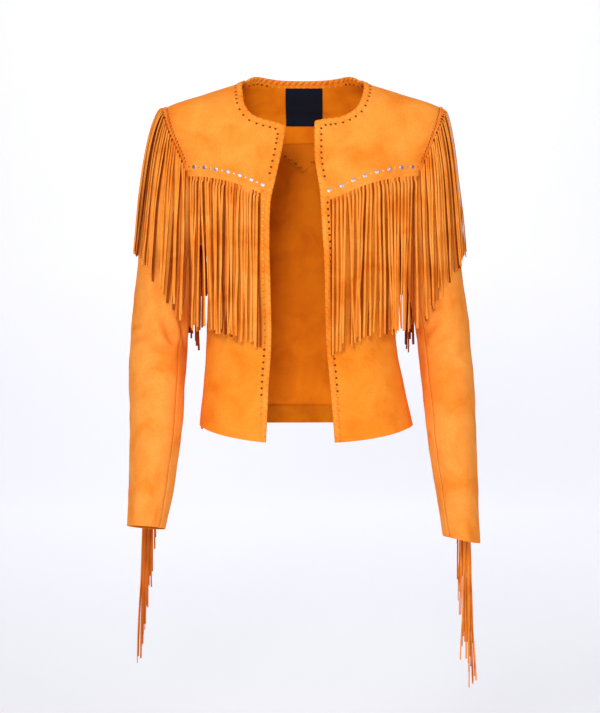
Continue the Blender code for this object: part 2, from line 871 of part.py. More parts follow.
def armhole_fringe_turns(side):
    """Turns of the strand edges, spread evenly as seen from above, from back to front."""
    turns = [math.radians(k) for k in range(*ARMHOLE_FRINGE_TURNS)]
    line = [armhole_point(side, turn)[0] for turn in turns]
    lengths = [0.0]
    for a, b in zip(line, line[1:]):
        lengths.append(lengths[-1] + math.hypot(b.x - a.x, b.y - a.y))
    count = ARMHOLE_FRONT_STRANDS + ARMHOLE_BACK_STRANDS
    rows = list(zip(lengths, turns))
    return [profile(rows, 1, at) for at in paired(0.0, lengths[-1], count, STRAND_SHARE)]


def armhole_fringe_stations(side):
    stations = []
    for turn in armhole_fringe_turns(side):
        start, _ = cap_start(side, turn)
        per_place = (sleeve_point(side, turn, 0.02) - start).length / 0.02
        places = [1.0 / per_place, (1.0 + ARMHOLE_STRIP) / per_place]
        normals = [sleeve_normal(side, turn, place) for place in places]
        upper, lower = [
            sleeve_point(side, turn, place) + normal * lift
            for place, normal, lift in zip(places, normals, ARMHOLE_STRIP_LIFTS)
        ]
        leave = ((lower - upper).normalized() + normals[1] * 0.5).normalized()
        stations.append((upper, lower, normals[1], leave))
    return stations


def sleeve_fringe_stations(side):
    """Stations of the strip that stands out of a sleeve's back seam, elbow to cuff."""
    stations = []
    edges = paired(SLEEVE_FRINGE_TOP[side], SLEEVE_FRINGE_BOTTOM[side], SLEEVE_STRANDS, STRAND_SHARE)
    for z in edges:
        place = 1 + arm_share(z)
        turn = sleeve_turn(side, BACK_SEAM_TURN, place)
        seam = sleeve_point(side, turn, place)
        normal = sleeve_normal(side, turn, place)
        along = (sleeve_point(side, turn, place + 0.01) - seam).normalized()
        through = normal.cross(along).normalized()
        seam = seam + normal * LAYER_GAP - through * FRINGE_THICK / 2
        outward = Vector((normal.x, normal.y, 0.0)).normalized()
        leave = (outward * 0.5 + DOWN).normalized()
        stations.append((seam, seam + normal * SLEEVE_STRIP, through, leave))
    return stations


# Lacing round the edges


def add_lacing(name, centres, normals, colour_name):
    """Rolled and laced edge: a round bead along a line, closed at both ends."""
    points, faces = [], []
    count = len(centres)
    for k, (centre, normal) in enumerate(zip(centres, normals)):
        along = (centres[min(count - 1, k + 1)] - centres[max(0, k - 1)]).normalized()
        across = along.cross(normal).normalized()
        for side in range(LACE_SIDES):
            turn = 2 * math.pi * side / LACE_SIDES
            points.append(centre + (across * math.cos(turn) + normal * math.sin(turn)) * LACE_RADIUS)
    for k in range(count - 1):
        for side in range(LACE_SIDES):
            following = (side + 1) % LACE_SIDES
            a, b = k * LACE_SIDES + side, k * LACE_SIDES + following
            faces.append((a, b, b + LACE_SIDES, a + LACE_SIDES))
    last = (count - 1) * LACE_SIDES
    faces.append(tuple(reversed(range(LACE_SIDES))))
    faces.append(tuple(range(last, last + LACE_SIDES)))
    return add_solid(name, points, faces, colour_name)


def bead_line(line, front):
    """Centres and normals of the bead that finishes a cloth edge."""
    places = as_places(line, front)
    normals = [body_normal(*place) for place in places]
    return [body_point(*place) - n * WALL / 2 for place, n in zip(places, normals)], normals


def at_height(points, normals, place, z):
    """Point and normal of a panel at a place between its columns and a height."""
    j = min(int(place), len(points[0]) - 2)
    line = [row[j].lerp(row[j + 1], place - j) for row in points]
    facing = [row[j].lerp(row[j + 1], place - j) for row in normals]
    i = max(k for k in range(len(line) - 1) if k == 0 or line[k].z >= z)
    share = (z - line[i].z) / (line[i + 1].z - line[i].z)
    return line[i].lerp(line[i + 1], share), facing[i].lerp(facing[i + 1], share).normalized()


def add_lining(name, points, normals, depth, thick, colour_name):
    """Flat piece inside a panel, made from the panel's own points moved inwards."""
    outer = shifted(points, normals, -depth)
    inner = shifted(points, normals, -depth - thick)
    return add_wall(name, outer, inner, colour_name)


def cloth_tree(points, normals):
    """Search tree of a panel's outer surface, with its faces turned outwards."""
    rows, columns = len(points), len(points[0])
    flat = [point for row in points for point in row]
    faces = []
    for i in range(rows - 1):
        for j in range(columns - 1):
            a = i * columns + j
            faces += [(a, a + 1, a + columns + 1), (a, a + columns + 1, a + columns)]
    i, j = rows // 2, columns // 2
    across = points[i][j + 1] - points[i][j]
    along = points[i + 1][j] - points[i][j]
    if across.cross(along).dot(normals[i][j]) < 0:
        faces = [tuple(reversed(face)) for face in faces]
    return BVHTree.FromPolygons(flat, faces)


def build():
    for old in list(bpy.data.objects):
        bpy.data.objects.remove(old, do_unlink=True)

    half_gap = SEAM_GAP / 2
    body_surfaces = []
    sleeve_surfaces = {RIGHT: [], LEFT: []}

    # Fronts, their yokes and the laced front edges
    for side in (RIGHT, LEFT):
        name = SIDE_NAMES[side]
        yoke_points, yoke_normals = on_body(front_yoke_places(side))
        front_points, front_normals = on_body(front_places(side))
        share_armhole(side, range(FRONT_YOKE_TURN + 1), yoke_normals, -1)
        share_armhole(side, range(FRONT_YOKE_TURN, HALF_TURN_STEPS), front_normals, -1)
        body_surfaces += [(yoke_points, yoke_normals), (front_points, front_normals)]
        yoke = trimmed(yoke_points, right=half_gap, top=half_gap, bottom=half_gap)
        front = trimmed(front_points, right=half_gap, top=half_gap)
        add_wall("front_yoke_" + name, yoke, shifted(yoke, yoke_normals, -WALL), "yoke")
        add_wall("front_" + name, front, shifted(front, front_normals, -WALL), "suede")

        heights = [NECKLINE[side][-1][1] - LACE_RADIUS] + yoke_edge_heights(side, LACE_RADIUS)
        heights += lower_edge_heights(side)[1:]
        centres, normals = bead_line(front_edge_line(side, heights, LACE_RADIUS), True)
        add_lacing("front_edge_lacing_" + name, centres, normals, "suede")

    # Back, back yoke and the laced neckline
    yoke_points, yoke_normals = on_body(back_yoke_places())
    back_points, back_normals = on_body(back_places())
    for side, index in ((LEFT, 0), (RIGHT, -1)):
        steps = range(FULL_TURN_STEPS, FULL_TURN_STEPS - BACK_YOKE_TURN - 1, -1)
        share_armhole(side, steps, yoke_normals, index)
        steps = range(FULL_TURN_STEPS - BACK_YOKE_TURN, HALF_TURN_STEPS, -1)
        share_armhole(side, steps, back_normals, index)
    body_surfaces += [(yoke_points, yoke_normals), (back_points, back_normals)]
    yoke = trimmed(yoke_points, left=half_gap, right=half_gap, top=half_gap, bottom=half_gap)
    back = trimmed(back_points, left=half_gap, right=half_gap, top=half_gap)
    add_wall("back_yoke", yoke, shifted(yoke, yoke_normals, -WALL), "yoke")
    add_wall("back", back, shifted(back, back_normals, -WALL), "suede")

    right_centres, right_normals = bead_line(neckline(RIGHT, LACE_RADIUS), True)
    left_centres, left_normals = bead_line(neckline(LEFT, LACE_RADIUS), True)
    back_centres, back_neck_normals = bead_line(back_neckline(LACE_RADIUS), False)
    centres = left_centres[:0:-1] + back_centres + right_centres[1:]
    normals = left_normals[:0:-1] + back_neck_normals + right_normals[1:]
    end_gap = 2 * LACE_RADIUS + 2 * SEAM_GAP
    centres[0] += (centres[1] - centres[0]).normalized() * end_gap
    centres[-1] += (centres[-2] - centres[-1]).normalized() * end_gap
    add_lacing("neck_edge_lacing", centres, normals, "suede")

    # Sleeves in an upper and an under half
    for side in (RIGHT, LEFT):
        halves = (
            ("upper_sleeve_", BACK_SEAM_TURN - FULL_TURN_STEPS, FRONT_SEAM_TURN),
            ("under_sleeve_", FRONT_SEAM_TURN, BACK_SEAM_TURN),
        )
        for prefix, first, last in halves:
            points, normals = sleeve_grids(side, first, last)
            sleeve_surfaces[side].append((points, normals))
            outer = trimmed(points, left=half_gap, right=half_gap)
            add_wall(prefix + SIDE_NAMES[side], outer, shifted(outer, normals, -WALL), "suede")

    # Pieces inside the back: facing, hem turned up and bare label
    faced = slice(SHOULDER_COLUMNS, SHOULDER_COLUMNS + NECK_BACK_COLUMNS + 1)
    facing_points = [row[faced] for row in yoke_points[:FACING_ROWS + 1]]
    facing_normals = [row[faced] for row in yoke_normals[:FACING_ROWS + 1]]
    facing_points = trimmed(facing_points, top=LAYER_GAP)
    add_lining("back_neck_facing", facing_points, facing_normals, WALL + LINING_GAP, INNER_WALL, "inside")

    middle = SHOULDER_COLUMNS + NECK_BACK_COLUMNS // 2
    reach = LABEL_HALF_WIDTH / abs(yoke_points[1][middle + 1].x)
    label_points, label_normals = [], []
    for k in range(LABEL_ROWS + 1):
        z = mix(LABEL_TOP, LABEL_BOTTOM, k / LABEL_ROWS)
        found = [at_height(yoke_points, yoke_normals, middle + side * reach, z) for side in (-1, 0, 1)]
        label_points.append([point for point, _ in found])
        label_normals.append([normal for _, normal in found])
    depth = WALL + 2 * LINING_GAP + INNER_WALL
    add_lining("label", label_points, label_normals, depth, LABEL_THICK, "label")

    last = len(back_points[0]) - 1
    turned_points = [row[1:last] for row in back_points[-2:]]
    turned_normals = [row[1:last] for row in back_normals[-2:]]
    add_lining("back_hem_turnup", turned_points, turned_normals, WALL + LINING_GAP, INNER_WALL, "inside")

    # Fringe on the yokes, round the armholes and down the backs of the sleeves
    body_trees = [cloth_tree(points, normals) for points, normals in body_surfaces]
    for side in (RIGHT, LEFT):
        name = SIDE_NAMES[side]
        sleeve_trees = [cloth_tree(points, normals) for points, normals in sleeve_surfaces[side]]
        edges = [side * x for x in paired(CHEST_START[side], CHEST_END, CHEST_STRANDS, STRAND_SHARE)]
        stations = yoke_fringe_stations(FRONT_YOKE_LINE, edges, CHEST_STRIP, True)
        add_fringe("chest_fringe_" + name, stations, body_trees)
        add_fringe("armhole_fringe_" + name, armhole_fringe_stations(side), sleeve_trees, ARMHOLE_CLEAR)
        add_fringe("sleeve_fringe_" + name, sleeve_fringe_stations(side), sleeve_trees)
    edges = paired(-BACK_FRINGE_REACH, BACK_FRINGE_REACH, BACK_STRANDS, STRAND_SHARE)
    stations = yoke_fringe_stations(BACK_YOKE_LINE, edges, BACK_STRIP, False)
    add_fringe("back_fringe", stations, body_trees)


build()
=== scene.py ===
"""Looks of the fringed suede jacket: finer cloth, full fringe, laced and studded edges.

Lengths are in millimetres and are scaled to metres as the meshes are made. The wearer's
right side is at -X and the open front faces -Y.
"""

import bisect
import math
import random

import bmesh
import bpy
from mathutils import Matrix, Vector, noise
from mathutils.bvhtree import BVHTree


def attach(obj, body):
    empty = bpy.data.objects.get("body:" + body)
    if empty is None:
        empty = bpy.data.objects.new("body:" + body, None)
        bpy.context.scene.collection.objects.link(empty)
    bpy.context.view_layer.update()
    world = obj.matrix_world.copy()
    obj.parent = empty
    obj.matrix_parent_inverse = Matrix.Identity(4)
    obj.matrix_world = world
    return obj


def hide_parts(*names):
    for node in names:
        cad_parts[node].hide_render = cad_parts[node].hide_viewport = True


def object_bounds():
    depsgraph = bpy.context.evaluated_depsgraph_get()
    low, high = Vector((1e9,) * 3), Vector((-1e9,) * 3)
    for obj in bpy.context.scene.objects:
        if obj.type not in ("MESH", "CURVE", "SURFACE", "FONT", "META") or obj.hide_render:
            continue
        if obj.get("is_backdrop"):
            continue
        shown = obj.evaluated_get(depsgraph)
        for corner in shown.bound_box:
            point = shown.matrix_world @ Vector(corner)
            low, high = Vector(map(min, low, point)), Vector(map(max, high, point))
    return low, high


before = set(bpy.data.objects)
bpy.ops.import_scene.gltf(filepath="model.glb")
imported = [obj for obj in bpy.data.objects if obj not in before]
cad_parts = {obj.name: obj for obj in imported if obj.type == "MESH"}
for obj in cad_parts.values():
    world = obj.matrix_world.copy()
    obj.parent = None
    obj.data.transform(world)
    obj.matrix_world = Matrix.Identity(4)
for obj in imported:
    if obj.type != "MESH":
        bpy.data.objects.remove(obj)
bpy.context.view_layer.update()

MM = 0.001
RIGHT, LEFT = -1, 1
SIDE_NAMES = {RIGHT: "right", LEFT: "left"}
QUARTER = math.pi / 2
DOWN = Vector((0, 0, -1))

# Front yokes: soft suede with the nap up, pieced over the fronts from the shoulder seam to a
# curve across the chest. The cut edge is turned under and lies on the fringe band.

WALL = 1.5
SQUARENESS = 2.35
BODY_SECTIONS = (
    # height, half width, front depth, back depth
    (22, 75, 38, 50),
    (10, 81, 42, 55),
    (3, 87, 44, 58),
    (-2, 102, 47, 60),
    (-9, 125, 50, 63),
    (-16.5, 148, 55, 67),
    (-23.3, 171, 61, 71),
    (-27.5, 183, 64, 73),
    (-34, 196, 69, 78),
    (-62, 204, 82, 88),
    (-112, 192, 98, 99),
    (-150, 175, 107, 104),
    (-190, 155, 113, 105),
    (-219, 141, 115, 103),
    (-300, 136, 110, 94),
    (-360, 138, 105, 90),
    (-430, 144, 105, 95),
    (-512, 152, 109, 103),
)
LEFT_FLARE = (
    # height, how much wider the wearer's left side hangs
    (-219, 0), (-300, -3), (-340, -4.5), (-382, -4), (-425, 1.4), (-453, 4.3), (-482, 8.6), (-512, 12),
)
ARMHOLE_TOP, ARMHOLE_BOTTOM = -34.0, -219.0
ARMHOLE_FRONT = (
    # height, distance from the middle
    (-34, 196), (-62, 189), (-85, 179.5), (-112, 168), (-150, 156.5), (-190, 147), (-219, 141),
)
ARMHOLE_BACK = (
    # height, distance from the middle
    (-34, 196), (-62, 193), (-90, 186), (-120, 176), (-160, 161), (-195, 149), (-219, 141),
)
NECK_SIDE_X, NECK_SIDE_HEIGHT = 84.0, 8.0
NECKLINE = {
    # distance from the middle, height
    RIGHT: ((84, 8), (86, -4), (84.5, -16), (80.5, -36), (71, -49), (57, -55.5), (40, -60), (23.5, -66)),
    LEFT: ((84, 8), (86, -4), (83.5, -18), (76, -37), (66, -46), (51, -53), (30, -56), (15.5, -59)),
}
FRONT_EDGE = {
    # height, distance from the middle
    RIGHT: ((-66, 23.5), (-104, 30), (-143, 38.5), (-175, 45), (-215, 46.5),
            (-300, 45), (-363, 44), (-430, 48), (-506, 51.5)),
    LEFT: ((-59, 15.5), (-104, 15.5), (-130, 18.5), (-155, 22.5), (-200, 25.5),
           (-253, 29), (-363, 32), (-430, 38), (-506, 44)),
}
FRONT_YOKE_LINE = (
    # distance from the middle, height
    (15, -170), (36, -163), (54, -155.5), (75, -146), (105, -136), (133, -130), (175, -126),
)
BROAD_SWELL_SCALE, BROAD_SWELL_DEPTH = 0.016, 1.6
FINE_SWELL_SCALE, FINE_SWELL_DEPTH = 0.045, 0.5
SWELL_TOP, SWELL_FADE = 20, 60
SHOULDER_TIP = 196.0
smooth_tables = {}


def mix(a, b, share):
    return a + (b - a) * share


def profile(rows, column, at):
    """Smooth value of a table's column at a place in its first column, without overshoot."""
    if (id(rows), column) not in smooth_tables:
        pairs = sorted((row[0], row[column]) for row in rows)
        keys, values = [float(k) for k, _ in pairs], [float(v) for _, v in pairs]
        slopes = [(d - b) / (c - a) for a, b, c, d in zip(keys, values, keys[1:], values[1:])]
        inner = [2 * p * q / (p + q) if p * q > 0 else 0.0 for p, q in zip(slopes, slopes[1:])]
        smooth_tables[id(rows), column] = (rows, keys, values, [slopes[0], *inner, slopes[-1]])
    _, keys, values, tangents = smooth_tables[id(rows), column]
    at = min(max(at, keys[0]), keys[-1])
    k = min(len(keys) - 2, bisect.bisect_right(keys, at) - 1)
    span = keys[k + 1] - keys[k]
    u = (at - keys[k]) / span
    return (
        values[k] * (1 + 2 * u) * (1 - u) ** 2 + tangents[k] * span * u * (1 - u) ** 2
        + values[k + 1] * u * u * (3 - 2 * u) + tangents[k + 1] * span * u * u * (u - 1)
    )


def run_lengths(points, distance):
    """Length of the way to each point of a line, with a function for the distance of two."""
    lengths = [0.0]
    for a, b in zip(points, points[1:]):
        lengths.append(lengths[-1] + distance(a, b))
    return lengths


def straight(a, b):
    return (b - a).length


def signed_power(value, exponent):
    return math.copysign(abs(value) ** exponent, value)


def half_width(side, z):
    return profile(BODY_SECTIONS, 1, z) + (profile(LEFT_FLARE, 1, z) if side == LEFT else 0.0)


def plain_body(angle, z):
    """Point of the smooth body surface at an angle round the body and a height."""
    depth_column = 2 if math.cos(angle) > 0 else 3
    side = LEFT if math.sin(angle) > 0 else RIGHT
    x = half_width(side, z) * signed_power(math.sin(angle), 2 / SQUARENESS)
    y = -profile(BODY_SECTIONS, depth_column, z) * signed_power(math.cos(angle), 2 / SQUARENESS)
    return Vector((x, y, z))


def plain_normal(surface, first, second, a, b):
    """Unit normal of a surface of two parameters, from small steps to both sides."""
    along = surface(first + a, second) - surface(first - a, second)
    across = surface(first, second + b) - surface(first, second - b)
    return along.cross(across).normalized()


def body_point(angle, z):
    """Point of the jacket's outer surface, with the soft unevenness of hanging cloth."""
    point = plain_body(angle, z)
    swell = noise.noise(point * BROAD_SWELL_SCALE) * BROAD_SWELL_DEPTH
    swell += noise.noise(point * FINE_SWELL_SCALE + Vector((7, 3, 1))) * FINE_SWELL_DEPTH
    outward = Vector((point.x * 0.45, point.y, 0)).normalized()
    return point + outward * swell * min(1.0, max(0.0, (SWELL_TOP - z) / SWELL_FADE))


def body_normal(angle, z):
    return plain_normal(body_point, angle, z, 0.012, 0.8)


def lifted(place, lift):
    """Point that stands off the outer surface at a place of angle and height."""
    return body_point(*place) + body_normal(*place) * lift


def body_angle(side, x, z, front):
    """Angle round the body of the point at distance x from the middle."""
    ratio = min(1.0, abs(x) / half_width(side, z))
    angle = math.asin(ratio ** (SQUARENESS / 2))
    return side * (angle if front else math.pi - angle)


def shoulder_height(x):
    """Height of the shoulder line at distance x from the middle."""
    low, high = ARMHOLE_TOP, NECK_SIDE_HEIGHT
    for _ in range(24):
        middle = (low + high) / 2
        if profile(BODY_SECTIONS, 1, middle) > x:
            low = middle
        else:
            high = middle
    return high


def armhole_place(side, turn):
    """Angle and height of the armhole edge; the turn runs from the shoulder over the front."""
    front = math.sin(turn) >= 0
    middle = (ARMHOLE_TOP + ARMHOLE_BOTTOM) / 2
    z = middle + (ARMHOLE_TOP - middle) * math.cos(turn)
    return body_angle(side, profile(ARMHOLE_FRONT if front else ARMHOLE_BACK, 1, z), z, front), z


def armhole_line(side, turn):
    """Armhole edge as distance from the middle and height."""
    angle, z = armhole_place(side, turn)
    return plain_body(angle, z).x, z


def along(line, share):
    """Point at a share of the length of a line of points."""
    lengths = run_lengths(line, math.dist)
    target = lengths[-1] * share
    i = min(len(line) - 2, max(j for j in range(len(line)) if lengths[j] <= target + 1e-9))
    part = min(1.0, (target - lengths[i]) / (lengths[i + 1] - lengths[i]))
    return tuple(mix(a, b, part) for a, b in zip(line[i], line[i + 1]))


def neckline(side, inset):
    """Front neckline as distances and heights, moved into the cloth by an inset."""
    rows = NECKLINE[side]
    dense = []
    for k in range(len(rows) - 1):
        p0, p1, p2, p3 = rows[max(0, k - 1)], rows[k], rows[k + 1], rows[min(len(rows) - 1, k + 2)]
        for i in range(8):
            u = i / 8
            dense.append(tuple(
                0.5 * (2 * b + (c - a) * u + (2 * a - 5 * b + 4 * c - d) * u * u
                       + (3 * b - a - 3 * c + d) * u ** 3)
                for a, b, c, d in zip(p0, p1, p2, p3)
            ))
    dense.append(rows[-1])
    moved = []
    for k, (x, z) in enumerate(dense):
        before, after = dense[max(0, k - 1)], dense[min(len(dense) - 1, k + 1)]
        run, drop = after[0] - before[0], after[1] - before[1]
        length = math.hypot(run, drop)
        moved.append((x - drop / length * inset, z + run / length * inset))
    corner = rows[-1][1] - inset
    moved[-1] = (profile(FRONT_EDGE[side], 1, corner) + inset, corner)
    moved[0] = (NECK_SIDE_X + inset, shoulder_height(NECK_SIDE_X + inset))
    return [(side * x, z) for x, z in moved]


def yoke_corner_height(side):
    """Height at which the front yoke's lower edge meets the front edge."""
    z = FRONT_YOKE_LINE[0][1]
    for _ in range(8):
        z = profile(FRONT_YOKE_LINE, 1, profile(FRONT_EDGE[side], 1, z))
    return z


def front_edge(side, z, inset):
    return side * (profile(FRONT_EDGE[side], 1, z) + inset), z


def front_place(side, spot):
    """Angle and height of a spot on the front that is given as distance and height."""
    return body_angle(side, spot[0], spot[1], True), spot[1]


def front_yoke_edge(side, share, inset):
    """Lower edge of a front yoke as distance and height, from the front edge to the armhole."""
    first = profile(FRONT_EDGE[side], 1, yoke_corner_height(side)) + inset
    last, end = armhole_line(LEFT, QUARTER)
    x = mix(first, last, share)
    return side * x, mix(profile(FRONT_YOKE_LINE, 1, x), end, share ** 8)


def patch(top, bottom, left, right, columns, rows, by_height=False):
    """Grid between four edges that meet at their corners; each edge is a function of a share."""
    tops = [top(j / columns) for j in range(columns + 1)]
    bottoms = [bottom(j / columns) for j in range(columns + 1)]
    grid = []
    for i in range(rows + 1):
        t = i / rows
        a, b = left(t), right(t)
        if by_height:
            t = sum((edge[1] - first[1]) / (last[1] - first[1])
                    for edge, first, last in ((a, tops[0], bottoms[0]), (b, tops[-1], bottoms[-1]))) / 2
        row = []
        for j in range(columns + 1):
            s = j / columns
            row.append([
                mix(tops[j][k], bottoms[j][k], t) + mix(a[k], b[k], s)
                - mix(mix(tops[0][k], tops[-1][k], s), mix(bottoms[0][k], bottoms[-1][k], s), t)
                for k in (0, 1)
            ])
        grid.append(row)
    return grid


def on_body(rows):
    """Points and normals on the body for a grid of angles and heights."""
    points = [[body_point(angle, z) for angle, z in row] for row in rows]
    normals = [[body_normal(angle, z) for angle, z in row] for row in rows]
    return points, normals


def full_turn(side):
    """What is added on the wearer's right to angles that run on from the left over the back."""
    return 2 * math.pi if side == RIGHT else 0.0


def back_place(x, z):
    """Angle and height of a spot on the back that is given as distance and height."""
    side = LEFT if x >= 0 else RIGHT
    return body_angle(side, x, z, False) + full_turn(side), z


def as_angles(rows, front):
    """Grid of angles and heights for a grid of distances from the middle and heights."""
    if front:
        return [[front_place(LEFT if x >= 0 else RIGHT, (x, z)) for x, z in row] for row in rows]
    return [[back_place(x, z) for x, z in row] for row in rows]


def behind(rows, depth):
    """Points and normals for a grid of angles and heights, moved inwards from the surface."""
    points, normals = on_body(rows)
    return [[p - n * depth for p, n in zip(a, b)] for a, b in zip(points, normals)], normals


def tube_faces(first, rings, sides, capped=True):
    """Faces of a tube whose rings of points follow each other, with its two ends if capped."""
    faces = []
    for k in range(rings - 1):
        for i in range(sides):
            a, b = first + k * sides + i, first + k * sides + (i + 1) % sides
            faces.append((a, b, b + sides, a + sides))
    if capped:
        last = first + sides * (rings - 1)
        faces += [tuple(first + i for i in range(sides))[::-1], tuple(last + i for i in range(sides))]
    return faces


def mesh_piece(name, points, faces, materials, face_materials=None):
    """Visible piece made of points in millimetres that rides on the jacket."""
    mesh = bpy.data.meshes.new(name)
    mesh.from_pydata([point * MM for point in points], [], faces)
    for each in materials:
        mesh.materials.append(each)
    if face_materials:
        mesh.polygons.foreach_set("material_index", face_materials)
    mesh.shade_smooth()
    piece = bpy.data.objects.new(name, mesh)
    bpy.context.scene.collection.objects.link(piece)
    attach(piece, "root")
    return piece


def cloth_piece(name, points, normals, outer_material, inner_material, wall=WALL, round_edge=0.35):
    """Closed sheet of cloth behind a grid of outer points, with softly rounded cut edges."""
    rows, columns = len(points), len(points[0])
    vertices, faces, kinds = [], [], []
    for depth in (0.0, wall):
        for i in range(rows):
            for j in range(columns):
                vertices.append(points[i][j] - normals[i][j] * depth)
    offset = rows * columns
    flip = (points[1][0] - points[0][0]).cross(points[0][1] - points[0][0]).dot(normals[0][0]) > 0
    for i in range(rows - 1):
        for j in range(columns - 1):
            a = i * columns + j
            face = (a, a + columns, a + columns + 1, a + 1)
            back = tuple(offset + k for k in face)
            faces += [face, back[::-1]] if flip else [face[::-1], back]
            kinds += [0, 1]
    rim = list(range(columns))
    rim += [i * columns + columns - 1 for i in range(1, rows)]
    rim += [(rows - 1) * columns + j for j in range(columns - 2, -1, -1)]
    rim += [i * columns for i in range(rows - 2, 0, -1)]
    for a, b in zip(rim, rim[1:] + rim[:1]):
        face = (a, b, offset + b, offset + a)
        faces.append(face if flip else face[::-1])
        kinds.append(0)
    piece = mesh_piece(name, vertices, faces, (outer_material, inner_material), kinds)
    bevel = piece.modifiers.new("soft edges", "BEVEL")
    bevel.width = round_edge * MM
    bevel.segments = 2
    bevel.limit_method = "ANGLE"
    bevel.angle_limit = math.radians(50)
    return piece


def new_material(name, roughness):
    """Material of one roughness, with its nodes, its links and the inputs of its shader."""
    made = bpy.data.materials.new(name)
    made.use_nodes = True
    nodes = made.node_tree.nodes
    shader = nodes["Principled BSDF"]
    shader.inputs["Roughness"].default_value = roughness
    return made, nodes, made.node_tree.links, shader


def plain_material(name, colour, roughness, metallic=0.0):
    """Material of one colour, without a pattern."""
    made, _, _, shader = new_material(name, roughness)
    shader.inputs["Base Color"].default_value = (*colour, 1)
    shader.inputs["Metallic"].default_value = metallic
    return made


def suede(name, light, mid, deep, nap=1.0):
    """Suede: brushed nap in soft lighter and deeper patches, with a fine fibre bump."""
    made, nodes, links, shader = new_material(name, 0.95)
    shader.inputs["Specular IOR Level"].default_value = 0.12
    shader.inputs["Sheen Weight"].default_value = 0.25
    shader.inputs["Sheen Roughness"].default_value = 0.6
    shader.inputs["Sheen Tint"].default_value = (*light, 1)
    place = nodes.new("ShaderNodeTexCoord")

    def cloud(scale, detail, distortion=0.0):
        texture = nodes.new("ShaderNodeTexNoise")
        texture.inputs["Scale"].default_value = scale
        texture.inputs["Detail"].default_value = detail
        texture.inputs["Distortion"].default_value = distortion
        links.new(place.outputs["Object"], texture.inputs["Vector"])
        return texture.outputs["Fac"]

    patches = nodes.new("ShaderNodeValToRGB")
    patches.color_ramp.elements[0].position = 0.33
    patches.color_ramp.elements[0].color = (*deep, 1)
    patches.color_ramp.elements[1].position = 0.66
    patches.color_ramp.elements[1].color = (*light, 1)
    middle = patches.color_ramp.elements.new(0.47)
    middle.color = (*mid, 1)
    links.new(cloud(24, 3, 0.6), patches.inputs["Fac"])
    brushed = nodes.new("ShaderNodeMix")
    brushed.data_type = "RGBA"
    brushed.blend_type = "SOFT_LIGHT"
    brushed.inputs["Factor"].default_value = 0.35 * nap
    links.new(patches.outputs["Color"], brushed.inputs["A"])
    links.new(cloud(420, 3), brushed.inputs["B"])
    links.new(brushed.outputs["Result"], shader.inputs["Base Color"])
    fibres = nodes.new("ShaderNodeBump")
    fibres.inputs["Strength"].default_value = 0.35 * nap
    fibres.inputs["Distance"].default_value = 0.0006
    links.new(cloud(900, 4), fibres.inputs["Height"])
    dents = nodes.new("ShaderNodeBump")
    dents.inputs["Strength"].default_value = 0.5 * nap
    dents.inputs["Distance"].default_value = 0.0016
    links.new(cloud(75, 3, 0.4), dents.inputs["Height"])
    links.new(fibres.outputs["Normal"], dents.inputs["Normal"])
    links.new(dents.outputs["Normal"], shader.inputs["Normal"])
    return made


def lapped(points, normals, rows):
    """Copy of a grid whose last rows rise, so that its edge lies on what it is sewn to."""
    raised = [list(row) for row in points]
    for i in range(rows + 1):
        rise = LAP_RISE * (1 - i / rows) ** 1.5
        raised[-1 - i] = [p + n * rise for p, n in zip(points[-1 - i], normals[-1 - i])]
    return raised


# The yokes and sleeves get lighter copies of the body suede: painted light for the top-lit yokes and the
# brighter sleeves.
yoke_suede = suede("yoke suede", (0.97, 0.325, 0.044), (0.95, 0.28, 0.030), (0.90, 0.225, 0.015))
body_suede = suede("body suede", (0.96, 0.305, 0.028), (0.94, 0.262, 0.017), (0.88, 0.21, 0.010))
sleeve_suede = suede("sleeve suede", (0.97, 0.34, 0.055), (0.95, 0.295, 0.040), (0.90, 0.24, 0.020))
inner_suede = suede("inner side", (0.82, 0.225, 0.005), (0.75, 0.19, 0.004), (0.66, 0.16, 0.003), 0.6)

EDGE_INSET, LAP_RISE = 4.0, 1.9
surfaces = []

for side in (RIGHT, LEFT):
    neck = neckline(side, EDGE_INSET)
    corner, low = neck[-1][1], yoke_corner_height(side)
    neck += [front_edge(side, mix(corner, low, k / 20), EDGE_INSET) for k in range(1, 21)]
    start = NECK_SIDE_X + EDGE_INSET
    grid = patch(
        lambda s: (side * mix(start, SHOULDER_TIP, s), shoulder_height(mix(start, SHOULDER_TIP, s))),
        lambda s: front_yoke_edge(side, s, EDGE_INSET),
        lambda t: along(neck, t),
        lambda t: armhole_line(side, t * QUARTER),
        columns=44, rows=52,
    )
    grid = as_angles(grid, True)
    grid[0] = [(side * QUARTER, z) for _, z in grid[0]]
    points, normals = on_body(grid)
    surfaces.append((points, normals))
    points = lapped(points, normals, 7)
    yoke = cloth_piece("front_yoke_cloth_" + SIDE_NAMES[side], points, normals,
                       yoke_suede, inner_suede)
    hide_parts("front_yoke_" + SIDE_NAMES[side])

# Fronts: the lower part of each front, from under the yoke to a hem that dips a little
# towards the opening, where it is turned up and stitched.

HEM_SIDE, HEM_FRONT_DROP, HEM_BACK_DROP, HEM_LEFT_RISE = -492.0, 12.5, 1.0, 5.0
SIDE_SEAM_AT_HEM = math.radians(74)


def hem_height(angle):
    towards_front = math.cos(angle)
    drop = HEM_FRONT_DROP if towards_front > 0 else HEM_BACK_DROP
    rise = HEM_LEFT_RISE if math.sin(angle) > 0 else 0.0
    return HEM_SIDE - drop * towards_front ** 2 + rise * math.sin(angle) ** 2


def front_corner_height(side):
    """Height of the hem where it meets the front edge."""
    return hem_height(body_angle(side, profile(FRONT_EDGE[side], 1, HEM_SIDE), HEM_SIDE, True))


def side_place(side, share):
    """Side edge of a lower panel: down the armhole's underside, then the side seam."""
    z = mix(ARMHOLE_BOTTOM, hem_height(SIDE_SEAM_AT_HEM), share)
    return side * mix(QUARTER, SIDE_SEAM_AT_HEM, share), z


